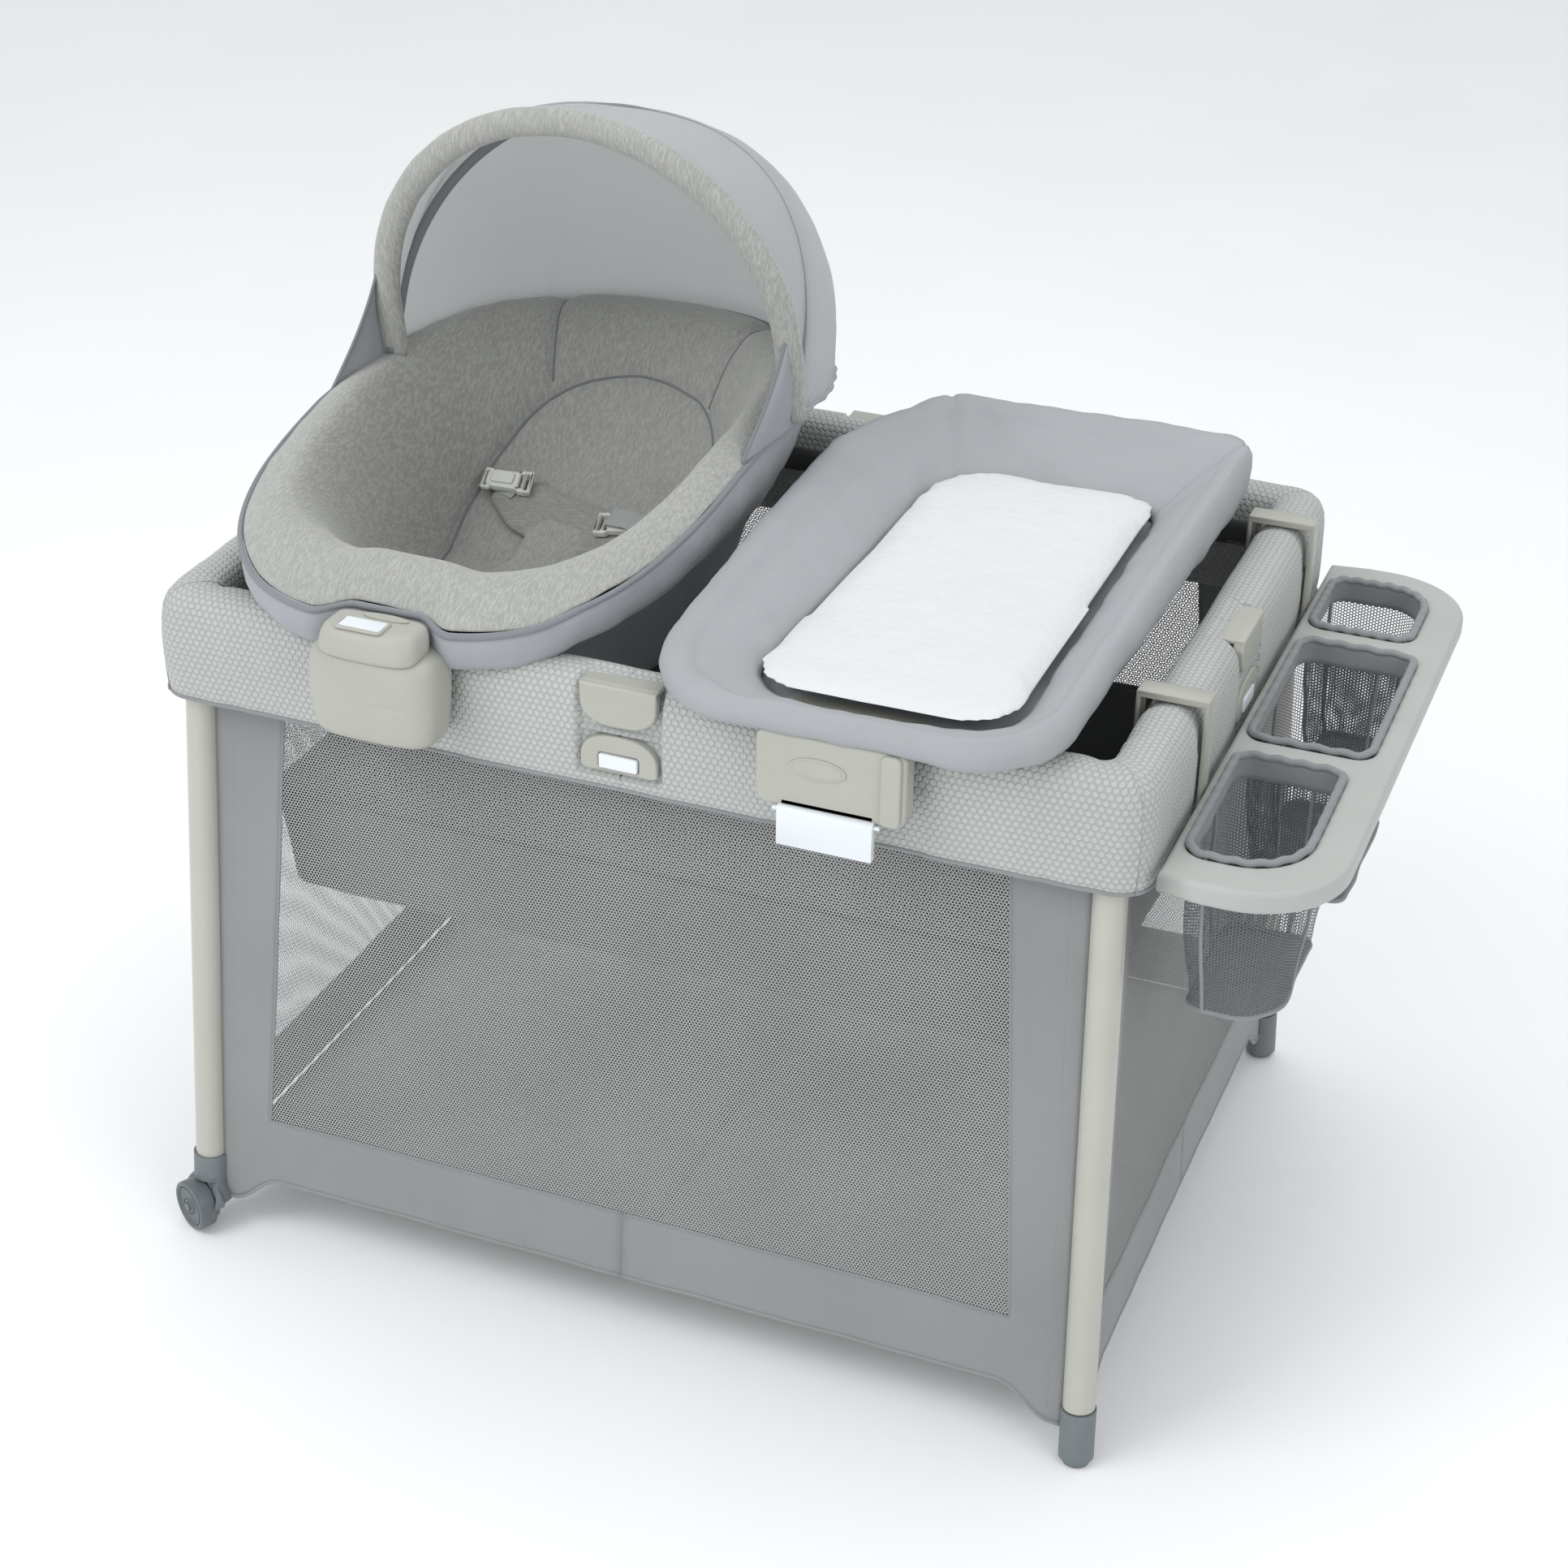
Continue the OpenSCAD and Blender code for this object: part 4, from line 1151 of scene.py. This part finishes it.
# lap pad, crotch pad, webbing and buckles
lap = pad_strip("harness_lap_pad", [(-342, 82), (-304, 68), (-260, 58), (-220, 53), (-180, 50)], [18, 31, 33, 31, 18], 7, HEATHER_BACK, 9)
cro = pad_strip("harness_crotch_pad", [(-252, 56), (-256, 22), (-264, -14), (-274, -46), (-282, -78)], [42, 34, 28, 31, 38], 6.5, HEATHER, 10)
for x in (lap, cro):
    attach(x, "seat")
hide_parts("seat_harness")


def strap(name, pts, w=25, t=1.8, up=(0.2, -0.5, 1)):
    p = np.asarray(pts, float)
    d = np.r_[0, np.cumsum(np.linalg.norm(np.diff(p, axis=0), axis=1))]
    s = np.linspace(0, d[-1], 36)
    q = np.c_[[np.interp(s, d, p[:, k]) for k in range(3)]].T
    for _ in range(3):
        q[1:-1] = (q[:-2] + q[1:-1] * 2 + q[2:]) / 4
    ob = ribbon(name, q, w, t, WEB, up)
    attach(ob, "seat")
    return ob


# small cushion at the foot of the seat, in two lobes
for nm_, cx_, cy_, rx_, ry_ in (("a", -302, -118, 44, 40), ("b", -196, -124, 48, 40)):
    rows = []
    for a_ in np.linspace(-np.pi / 2, np.pi / 2, 22):
        row = []
        for b_ in np.linspace(0, 2 * np.pi, 40, endpoint=False):
            X, Y = cx_ + rx_ * math.cos(a_) * math.cos(b_), cy_ + ry_ * math.cos(a_) * math.sin(b_)
            row.append((X, Y, on_seat(cx_, cy_, 7) + 15 * math.sin(a_) + 0.12 * abs(Y - cy_)))
        rows.append(row)
    o = loft("seat_foot_cushion_" + nm_, np.array(rows), HEATHER)
    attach(o, "seat")

zb = lambda x, y, u_=0: (x, y, on_seat(x, y, u_))
strap("harness_web_l", [(-318, 74, 708), (-340, 80, 711), (-362, 86, 712), (-380, 86, 706), (-388, 76, 694), (-376, 66, 686), (-350, 62, 684)])
strap("harness_web_r", [(-200, 54, 708), (-176, 50, 710), (-158, 46, 707), (-146, 42, 697), (-150, 38, 688)])


def buckle(name, x, y, ang, zup):
    z = on_seat(x, y, zup)
    ey = 2.0
    nz = Vector((-(on_seat(x + 5, y) - on_seat(x - 5, y)) / 10, -(on_seat(x, y + 5) - on_seat(x, y - 5)) / 10, 1)).normalized()
    ax = Vector((math.cos(ang), math.sin(ang), 0))
    ax = (ax - nz * ax.dot(nz)).normalized()
    ay = nz.cross(ax)
    B = basis(ax, ay, nz, (x, y, z))
    out = [(-25, -15), (-12, -15), (-9, -12), (16, -12), (25, -8), (25, 8), (16, 12), (-9, 12), (-12, 15), (-25, 15)]
    a = plate(name + "_frame", [out, rrect(-21.5, -17.5, -11, 11, 1.5)[::-1], rrect(-14, -11, -10, 10, 1.2)[::-1]], 9, 2.4, BUCKLE, B)
    b = plate(name + "_tongue", [rrect(-5, 19, -7.5, 7.5, 3)], 4, 1.3, BUCKLE, B @ Matrix.Translation((0, 0, 0.0055)))
    c = plate(name + "_bar", [rrect(19, 30, -14, 14, 3), rrect(24, 27, -10.5, 10.5, 1)[::-1]], 6, 1.8, BUCKLE, B)
    for o in (a, b, c):
        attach(o, "seat")
    return a


b1 = buckle("buckle_l", -330, 78, math.radians(190), 22)
b2 = buckle("buckle_r", -190, 54, math.radians(8), 22)
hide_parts("harness_buckles")


# ------------------------------------------------------------------ front pod
def pod():
    cx = -233.0

    def ring(hw, y0, y1, z, r, tilt=0.0, k=1.0):
        """D shaped section: flat at the back (y0), rounded to the front (y1)"""
        pts = []
        for a in np.linspace(0, 2 * np.pi, 72, endpoint=False):
            c, s = math.cos(a), math.sin(a)
            n = 3.2 if s < 0 else 8.0
            q = (abs(c) ** n + abs(s) ** n) ** (-1 / n)
            x, y = c * q * hw, s * q
            ym, yh = (y0 + y1) / 2, (y0 - y1) / 2
            pts.append((cx + x, ym + y * yh, z + tilt * (ym + y * yh - y0)))
        return pts
    body = [ring(30, -374, -400, 662, 10), ring(54, -368, -410, 661, 20), ring(61, -364, -414, 664, 20), ring(64, -362, -417, 672, 20), ring(66, -360, -418.5, 690, 20), ring(67, -359, -419, 703, 20),
            ring(66.4, -359, -418.4, 704.5, 20), ring(66.4, -359, -418.4, 706, 20), ring(67, -358, -419, 707.5, 20), ring(67, -356, -419, 725, 20), ring(66, -352, -418, 742, 20), ring(62, -350, -415, 749, 20), ring(50, -352, -405, 752.5, 20), ring(20, -366, -390, 753, 20)]
    b = loft("pod_body", np.array(body), TAUPE)
    subd(b, 1)
    lid = [ring(50, -380, -417, 746, 10), ring(52, -372, -419, 752, 10), ring(51, -368, -417, 765, 10), ring(48, -366, -413, 773, 10), ring(42, -368, -409, 776.5, 10), ring(20, -378, -399, 777.3, 10)]
    l = loft("pod_lid_shell", np.array(lid), TAUPE)
    subd(l, 1)
    em = plate("pod_badge_blank", [[(12.5 * math.cos(a) * 1.9, 6.0 * math.sin(a)) for a in np.linspace(0, 2 * np.pi, 40, endpoint=False)]], 1.6, 0.6, TAUPE, basis((1, 0, 0), (0, 1, 0), (0, 0, 1), (-226, -377, 777.8)))
    fr = plate("pod_button_bezel", [rrect(-264, -214, -411, -385, 6), rrect(-260.8, -217.2, -407.8, -388.2, 3.4)[::-1]], 3.0, 1.0, TAUPE, basis((1, 0, 0), (0, 1, 0), (0, 0, 1), (0, 0, 777.6)))
    tab = plate("pod_release_tab", [[(17 * math.cos(a), 17 * math.sin(a)) for a in np.linspace(0, 2 * np.pi, 40, endpoint=False)]], 6, 1.8, TAUPE, FRONT(-226, -362, 655))
    hk = N["pod_housing"]
    for o in (b, l, em, fr, tab):
        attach(o, "seat")
    # saddle over the rail cover
    P = []
    pr = [(-292, 716), (-296, 742), (-302, 749), (-320, 751), (-345, 751), (-362, 748), (-368, 735), (-370, 700)]
    pr = dense(np.array(pr, float), 5)
    ring_ = []
    for y, z in pr:
        ring_.append([(x, y, z) for x in np.linspace(-290, -176, 12)])
    sd = solid(grid("pod_saddle", np.array(ring_), TAUPE), 4.0)
    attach(sd, "seat")
    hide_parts("pod_housing", "pod_lid")


pod()


# ------------------------------------------------------------------ canopy
CP = np.array([-219.0, 50.0, 862.0])


def bow_arc(w, s, n=60, lean=0.0, low=0.0):
    """points of a bow in the plane leaning by lean degrees (back is positive)"""
    pts = []
    for z in np.linspace(low, s, 8)[:-1]:
        pts.append((-w, z))
    for a in np.linspace(math.pi, 0, n):
        pts.append((w * math.cos(a), s + w * math.sin(a)))
    for z in np.linspace(s, low, 8)[1:]:
        pts.append((w, z))
    p = np.array(pts)
    a = math.radians(lean)
    return np.c_[CP[0] + p[:, 0], CP[1] + p[:, 1] * math.sin(a), CP[2] + p[:, 1] * math.cos(a)]


p = bow_arc(226, 55, 90, -8.0, -8)
bow = tube("canopy_bow_sleeve", p, 14.5, HEATHER, n=20, r2=12.0, up=(0, 1, 0.14))
co = np.array([v.co for v in bow.data.vertices]) * 1000
for i, v in enumerate(bow.data.vertices):
    q = co[i]
    k = noise.noise(Vector(q / 30)) * 0.8 + noise.noise(Vector(q / 9)) * 0.35
    c = CP + (q - CP)
    n_ = (q - CP)
    v.co = Vector((q + n_ / np.linalg.norm(n_) * k) * 0.001)
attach(bow, "bow_front")
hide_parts("canopy_front_bow")
for sx in (-1, 1):
    d = [(13 * math.cos(a), 13 * math.sin(a)) for a in np.linspace(0, 2 * np.pi, 36, endpoint=False)]
    o = plate("canopy_pivot_" + ("l" if sx < 0 else "r"), [d], 10, 2.5, SLATE, basis((0, 1, 0), (0, 0, 1), (1, 0, 0), (CP[0] + sx * 226, CP[1], CP[2])))
    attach(o, "bow_front")
mb = tube("canopy_mid_bow_sleeve", bow_arc(226, 48, 80, 22.0, 30), 5.2, SEATPIPE, n=12, r2=4.6, up=(0, 1, 0.3))
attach(mb, "bow_mid")
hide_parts("canopy_mid_bow")


def can_surf(phis, ss, inset=0.0):
    P = np.zeros((len(phis), len(ss), 3))
    for i, ph in enumerate(phis):
        h = float(np.interp(ph, [-8, 22, 40, 58, 80, 96], [274, 276, 285, 294, 302, 304])) - inset
        w = float(np.interp(ph, [-8, 22, 60, 96], [223, 230, 238, 236])) - inset
        ex = float(np.interp(ph, [-8, 22, 96], [0.84, 0.78, 0.86]))
        for j, s_ in enumerate(ss):
            c, s = math.cos(s_), math.sin(s_)
            x = w * math.copysign(abs(c) ** ex, c)
            v = h * abs(s) ** (ex if ex > 0.5 else 0.5)
            # low side edge of the fabric: the hem climbs from the bow's foot to the back
            base = float(np.interp(ph, [-8, 22, 60, 96], [26, 20, 8, 0]))
            v = base + (h - base) * (v / h)
            a = math.radians(ph)
            sag = 4.5 * math.sin(math.pi * min(1, max(0, (ph + 8) / 30))) * s
            v -= sag if ph < 22 else 0
            P[i, j] = (CP[0] + x, CP[1] + v * math.sin(a), CP[2] + v * math.cos(a))
    return P


phis = np.r_[np.linspace(-6, 22, 18)[:-1], np.linspace(22, 97, 44)]
ss = np.linspace(0, np.pi, 110)
Pc = can_surf(phis, ss)
nn = nrm(Pc)
cen = np.array([-219, 60, 900])
nn = nn * np.sign(((Pc - cen) * nn).sum(-1))[..., None]
wv = wob(Pc, 4.0, 120, 1.0) + wob(Pc, 1.4, 34, 2.0)
ph_g = np.broadcast_to(phis[:, None], wv.shape)
tight = np.minimum(np.abs(ph_g - 22) / 8, 1) * np.minimum(np.abs(ph_g + 6) / 6, 1)
fan = np.sin(np.broadcast_to(ss[None], wv.shape) * 46) * 1.2 * sm((ph_g - 80) / 14)
Pc = Pc + nn * ((wv * tight) + fan)[..., None]
can = grid("canopy_hood", Pc, CANOPY)
Pi = Pc - nn * 2.6
lin_ = grid("canopy_hood_lining", Pi[:, :, :], LINING)
hem = Pc[-1]
hemt = tube("canopy_rear_hem", hem, 3.0, SHELLC, n=8, up=(0, 0.3, 1))
edge_ = tube("canopy_mid_seam", Pc[17] + nn[17] * 1.2, 1.2, CANOPY, n=6, up=(0, 1, 0.3))
# gathered skirt from the hem down to the seat rim
sk = []
gn = 16
for q in range(gn):
    f = q / (gn - 1)
    row = []
    for j in range(10, len(ss) - 10):
        b = Pc[-1, j]
        dx, dy = b[0] - SEAT_C[0], b[1] - SEAT_C[1]
        th = math.atan2(dy, dx)
        ox, oy = outline(th)
        tgt = np.array([SEAT_C[0] + ox * 0.985, SEAT_C[1] + oy * 0.985, rim_z(SEAT_C[1] + oy) - 16])
        pnt = b * (1 - f) + tgt * f
        pnt = pnt + np.array([dx, dy, 0]) / math.hypot(dx, dy) * (math.sin(j * 1.9) * 3.2 * math.sin(math.pi * (0.15 + 0.85 * f)) - 10 * math.sin(math.pi * f) * 0.6)
        row.append(pnt)
    sk.append(row)
skirt = solid(grid("canopy_skirt", np.array(sk), SHELLC), 1.2)
for o in (can, lin_, hemt, edge_, skirt):
    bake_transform(o)
sheet(can, 1010, 560)
sheet(lin_, 1000, 556)
sheet(skirt, 900, 70)
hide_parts("canopy_fabric")


def gusset(sx):
    """side flap from the bow's foot to the seat rim"""
    nu, nv = 14, 22
    P = np.zeros((nu, nv, 3))
    for i in range(nu):
        for j in range(nv):
            u_, v_ = i / (nu - 1), j / (nv - 1)
            top = np.array([CP[0] + sx * 229, 34, 962])
            foot = np.array([CP[0] + sx * 231, 66, 846])
            tip = np.array([SEAT_C[0] + sx * 231, -52, 838])
            low = foot * (1 - u_) + tip * u_
            a = top * (1 - v_) + low * v_
            a = a + np.array([sx * 1, 0, 0]) * (6 * math.sin(math.pi * v_) * math.sin(math.pi * u_) + 3 * math.sin(u_ * 9) * v_ * (1 - v_) * 2)
            # the free edge hangs in a curve
            a = a + np.array([0, 1, 0]) * (16 * math.sin(math.pi * v_) * u_)
            P[i, j] = a
    ob = solid(grid("canopy_gusset_" + ("l" if sx < 0 else "r"), P, SHELLC), 1.6)
    b = tube("canopy_gusset_welt_" + ("l" if sx < 0 else "r"), P[-1], 1.8, SEATPIPE, n=6, up=(1, 0.2, 0))
    for o in (ob, b):
        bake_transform(o)
    sheet(ob, 130, 120)


gusset(-1)
gusset(1)


# ------------------------------------------------------------------ changer
CX, CY = 225.0, -36.0


def ring4(x0, x1, y0, y1, r, k=18, m=42):
    """rounded box with the same number of points in every corner and side"""
    c = [(x1 - r[0], y1 - r[0], 0, r[0]), (x0 + r[1], y1 - r[1], 90, r[1]), (x0 + r[2], y0 + r[2], 180, r[2]), (x1 - r[3], y0 + r[3], 270, r[3])]
    cor = [[(cx + rr * math.cos(a), cy + rr * math.sin(a)) for a in np.radians(np.linspace(a0, a0 + 90, k))] for cx, cy, a0, rr in c]
    out = []
    for i in range(4):
        out += cor[i]
        p0, p1 = np.array(cor[i][-1]), np.array(cor[(i + 1) % 4][0])
        out += [tuple(p0 + (p1 - p0) * f) for f in np.linspace(0, 1, m + 2)[1:-1]]
    return np.array(out)


def taper(q, k0, k1, mid=0.0):
    """narrows the ring towards the back (k1) and the front (k0), about x = mid"""
    f = (q[:, 1] + 362) / 724
    q = q.copy()
    q[:, 0] = mid + (q[:, 0] - mid) * (k0 + (k1 - k0) * f)
    return q


def ch_rim_z(y):
    return float(np.interp(y, [-400, -340, -200, 0, 200, 330], [768, 776, 790, 799, 803, 806]))


def ch_rings():
    """outer foot, over the rolled rim, then down the wide sloped side to the pad"""
    o_ = ring4(-203, 203, -356, 330, (34, 46, 96, 90))
    o_ = taper(o_, 0.94, 1.0)
    # the left rear corner is cut in
    g = sm((o_[:, 1] - 150) / 180) * sm(-o_[:, 0] / 200)
    o_[:, 0] += 62 * g
    i_ = taper(ring4(-108, 152, -322, 222, (52, 84, 60, 66)), 1.0, 0.90, 25)
    rings_ = []
    out = [(8, -52), (2, -46), (-4, -34), (-6, -18), (-4, -6), (0, 0.5)]
    dirn = o_ - np.array([0, -20])
    dirn /= np.linalg.norm(dirn, axis=1)[:, None]
    rz = np.array([ch_rim_z(CY + a[1]) for a in o_])
    for ins, dz in out:
        q = o_ - dirn * ins
        rings_.append(np.c_[CX + q[:, 0], CY + q[:, 1], rz + dz * (rz - 748) / 52])
    for f in np.linspace(0, 1, 26)[1:]:
        q = o_ * (1 - f) + i_ * f
        roll = 3.5 * math.sin(math.pi * min(1, f * 3.2)) + 5.0 * math.sin(math.pi * f)
        z = rz * (1 - f) + 762 * f + roll - 8 * math.sin(math.pi * f) * 0
        rings_.append(np.c_[CX + q[:, 0], CY + q[:, 1], z])
    rings_.append(np.c_[CX + i_[:, 0] * 1.0, CY + i_[:, 1], np.full(len(i_), 756.5)])
    return np.array(rings_)


CR = ch_rings()
cn = nrm(CR, False, True)
ctr = CR.mean((0, 1))
lowp = np.stack([CR[..., 0] - CX, CR[..., 1] - CY], -1)
seamd = np.full(CR.shape[:2], 99.0)
for sxx in (-1, 1):
    for a_, b_ in ((((-130, 330), (-70, 196)) if sxx < 0 else ((203, 326), (128, 196))),):
        a2, b2_ = np.array(a_, float), np.array(b_, float)
        ab = b2_ - a2
        t_ = np.clip(((lowp - a2) @ ab) / (ab @ ab), 0, 1)
        seamd = np.minimum(seamd, np.linalg.norm(lowp - a2 - t_[..., None] * ab, axis=-1))
inner_line = np.exp(-((np.arange(len(CR)) - 15) / 0.6) ** 2)[:, None] * ((np.abs(lowp[..., 1]) < 240) & (lowp[..., 0] < 0))
dist_n = wob(CR, 3.0, 55, 3.0) + wob(CR, 1.2, 20, 5.0) - 3.4 * np.exp(-(seamd / 3.5) ** 2) - 1.2 * inner_line
up_ = np.sign(cn[..., 2].mean())
CR2 = CR + cn * up_ * dist_n[..., None]
chs = loft("changer_rim_pad", CR2, CHSIDE, caps=(False, False))
chs = solid(chs, 3.0, -1.0)
rimtop = CR2[np.argmax(CR[:, 0, 2])]
k_out = 12
pipe_ring = CR2[5]
cp_ = tube("changer_rim_piping", pipe_ring, 1.7, CHSIDE, closed=True, n=8)
# underside tray of the changer
ub = [CR2[0]]
for f in (0.9, 0.75, 0.5, 0.25, 0.03):
    q = CR2[0].copy()
    q[:, 0], q[:, 1] = CX + (q[:, 0] - CX) * f, CY + (q[:, 1] - CY) * f
    q[:, 2] = q[:, 2] * 0.25 + 754 * 0.75 if f > 0.8 else 753.5
    ub.append(q)
chb = solid(loft("changer_base_cloth", np.array(ub), CHSIDE, caps=(False, True)), 2.0, 1.0)
for nm_, ix_ in (("r", 9), ("l", 69)):
    sx_ = tube("changer_corner_seam_" + nm_, CR2[6:-1, ix_] + np.array([0, 0, 0.6]), 1.2, PIPE, n=6, up=(0.3, 0.2, 1))
    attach(sx_, "changer")
for o in (chs, cp_, chb):
    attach(o, "changer")
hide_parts("changer_shell")
sheet(chb, 700, 380)


def ch_pad_ring(f, n):
    q = taper(ring4(-110, 154, -324, 224, (50, 82, 58, 64), 14, 30), 1.0, 0.90, 25)
    c = np.array([22.0, -50.0])
    w = q * (1 - f) + (c + (q - c) * 0.01) * f
    return np.c_[w[:, 0] + CX, w[:, 1] + CY]


def cloth_puff(V, F, vox, pressure, cap, pin=None, frames=20):
    """swells a closed form with a cloth simulation, and gives its vertices and faces back"""
    me = bpy.data.meshes.new("sim")
    me.from_pydata((np.asarray(V) * 0.001).tolist(), [], [tuple(int(q) for q in f) for f in F])
    ob = bpy.data.objects.new("sim", me)
    sc.collection.objects.link(ob)
    r = ob.modifiers.new("r", "REMESH")
    r.mode, r.voxel_size, r.adaptivity = "VOXEL", vox * 0.001, 0.0
    bpy.context.view_layer.update()
    me2 = bpy.data.meshes.new_from_object(ob.evaluated_get(bpy.context.evaluated_depsgraph_get()))
    ob.modifiers.clear()
    ob.data = me2
    rest = np.array([v.co for v in me2.vertices])
    c = ob.modifiers.new("c", "CLOTH")
    c.settings.quality = 4
    c.settings.mass = 0.25
    c.settings.tension_stiffness = c.settings.compression_stiffness = 15
    c.settings.bending_stiffness = 1.2
    c.settings.use_pressure = True
    c.settings.uniform_pressure_force = pressure
    c.settings.effector_weights.gravity = 0
    if pin is not None:
        g = ob.vertex_groups.new(name="pin")
        for i, w in enumerate(pin(rest * 1000)):
            if w > 0:
                g.add([i], float(w), "REPLACE")
        c.settings.vertex_group_mass = "pin"
    c.point_cache.frame_start, c.point_cache.frame_end = 1, frames
    for f in range(1, frames + 1):
        sc.frame_set(f)
    ev = ob.evaluated_get(bpy.context.evaluated_depsgraph_get())
    new = np.array([v.co for v in ev.to_mesh().vertices])
    d = new - rest
    l = np.linalg.norm(d, axis=1)
    k_ = np.minimum(1, cap * 0.001 / (l + 1e-12))
    out = (rest + d * k_[:, None]) * 1000
    faces = [tuple(p_.vertices) for p_ in me2.polygons]
    bpy.data.objects.remove(ob)
    sc.frame_set(1)
    return out, faces


Pp = pillow("", ch_pad_ring, 761, 774, CHTOP, n=160, rings=14)
np_, mp_ = Pp.shape[:2]
V = Pp.reshape(-1, 3).tolist()
F = gF(np_, mp_, False, True).tolist()
for k_, rev in ((0, False), (np_ - 1, True)):
    V.append(Pp[k_].mean(0))
    for j in range(mp_):
        a, b = k_ * mp_ + j, k_ * mp_ + (j + 1) % mp_
        F.append((len(V) - 1, a, b) if not rev else (len(V) - 1, b, a))
sv, sf = cloth_puff(V, F, 6, 4.0, 7.0, pin=lambda q: (q[:, 2] < 763).astype(float))
pad = mk("changer_top_pad", sv, sf, CHTOP)
subd(pad, 1)
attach(pad, "changer")
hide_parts("changer_pad")

# front mount of the changer
mnt = plate("changer_mount_shell", [rrect(152, 295, 677, 752, (8, 8, 12, 12)), rrect(173.8, 268.2, 671, 688.5, 3)[::-1]], 24, 4.0, TAUPE, FRONT(0, -383.5, 0))
bdg = plate("changer_badge_blank", [[(27 * math.cos(a), 10.5 * math.sin(a)) for a in np.linspace(0, 2 * np.pi, 48, endpoint=False)]], 2.2, 0.7, TAUPE, FRONT(212, -395.8, 722))
bdi = plate("changer_badge_inset", [[(23.5 * math.cos(a), 8 * math.sin(a)) for a in np.linspace(0, 2 * np.pi, 48, endpoint=False)]], 1.2, 0.4, TAUPE, FRONT(212, -396.8, 722))
rib = plate("changer_mount_rib", [rrect(272, 291, 680, 751, 6)], 6, 2.4, TAUPE, FRONT(0, -397, 0))
pr = dense(np.array([(-294, 716), (-296, 744), (-303, 750), (-340, 752), (-362, 751), (-370, 745), (-372, 720)], float), 5)
sdl = solid(grid("changer_saddle", np.array([[(x, y, z) for x in np.linspace(160, 288, 12)] for y, z in pr]), TAUPE), 4.0)
for o in (mnt, bdg, bdi, rib, sdl):
    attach(o, "changer")
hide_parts("changer_mount")


# ------------------------------------------------------------------ organizer
def tray_outline():
    x0, x1 = 512.5, 668.0
    pts = [(x0, -346), (x0 + 40, -352)]
    for a in np.radians(np.linspace(-90, 0, 18)):
        pts.append((x1 - 92 + 92 * math.cos(a), -260 + 92 * math.sin(a)))
    for a in np.radians(np.linspace(0, 90, 18)):
        pts.append((x1 - 92 + 92 * math.cos(a), 260 + 92 * math.sin(a)))
    pts += [(x0 + 40, 352), (x0, 346)]
    return pts


def hole_loop(i):
    if i == 0:
        return rrect(524, 628, -305, -105, (16, 16, 22, 58), 10)
    if i == 1:
        return rrect(524, 642, -72, 156, 16, 10)
    return rrect(524, 628, 188, 310, (44, 20, 16, 16), 10)


tr = plate("organizer_tray_shell", [tray_outline()] + [hole_loop(i)[::-1] for i in range(3)], 22, 5.5, TRAY, basis((1, 0, 0), (0, 1, 0), (0, 0, 1), (0, 0, 649)), res=4)
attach(tr, "organizer")
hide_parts("organizer_tray")


def resamp(loop, n):
    p_ = np.array(loop + loop[:1], float)
    d = np.r_[0, np.cumsum(np.linalg.norm(np.diff(p_, axis=0), axis=1))]
    s = np.linspace(0, d[-1], n, endpoint=False)
    return np.c_[np.interp(s, d, p_[:, 0]), np.interp(s, d, p_[:, 1])]


first = None
for i, nm in enumerate(("front", "middle", "back")):
    q = resamp(hole_loop(i), 120)
    c = q.mean(0)
    rings_ = []
    zs = np.linspace(661, 486, 30)
    for z in zs:
        f = 1 - 0.20 * ((661 - z) / 175) ** 1.2
        r_ = (q - c) * np.array([f, f]) * 0.985 + c
        r_[:, 0] = np.maximum(r_[:, 0], 516)
        rings_.append(np.c_[r_, np.full(len(q), z)])
    R = np.array(rings_)
    rn = nrm(R, False, True)
    rn = rn * np.sign(((R - np.array([c[0], c[1], 600])) * rn)[..., :2].sum(-1))[..., None]
    fr = ((661 - R[..., 2]) / 175)
    R = R + rn * ((wob(R, 3.0, 40, i * 3.0) + 4.0 * np.sin(np.pi * np.clip(fr, 0, 1))) * sm(fr * 6))[..., None]
    R[..., 0] = np.maximum(R[..., 0], 514.5)
    bk = mk("basket_net_" + nm, R.reshape(-1, 3), gF(30, 120, False, True), NET_BASKET, arc(R))
    bot = [R[-1]]
    for f in (0.94, 0.7, 0.4, 0.05):
        b_ = R[-1].copy()
        b_[:, :2] = (b_[:, :2] - c) * f + c
        b_[:, 2] = 482 - 5 * (1 - f)
        bot.append(b_)
    bb = solid(loft("basket_base_" + nm, np.array(bot), PANEL, caps=(False, True)), 1.8)
    lip = R[0] + np.array([0, 0, 1.6]) + rn[0] * 1.5
    rimq = R[0].copy()
    rimq[:, 2] = 662.0 + 1.0 * np.sin(np.arange(120) * 1.3)
    bi = tube("basket_rim_" + nm, rimq, 4.2, PIPE, closed=True, n=10, r2=3.4)
    low_b = tube("basket_welt_" + nm, R[-1], 2.6, PIPE, closed=True, n=8)
    inner = solid(grid("basket_band_" + nm, np.array([R[k_] - rn[k_] * 1.2 for k_ in range(0, 5)]), PIPE, False, True), 1.2)
    sides = []
    for j in (8, 38, 68, 98):
        cseam = tube("basket_edge_%s_%d" % (nm, j), R[:, j] + rn[:, j] * 0.4, 2.0, PIPE, n=6, up=(0.2, 0.3, 0.1))
        sides.append(cseam)
    for o in [bk, bb, bi, low_b, inner] + sides:
        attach(o, "organizer")
    sheet(bk, 640, 180)
    sheet(bb, 220, 110)
    sheet(inner, 640, 30)
    first = first or bk
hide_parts("organizer_baskets")
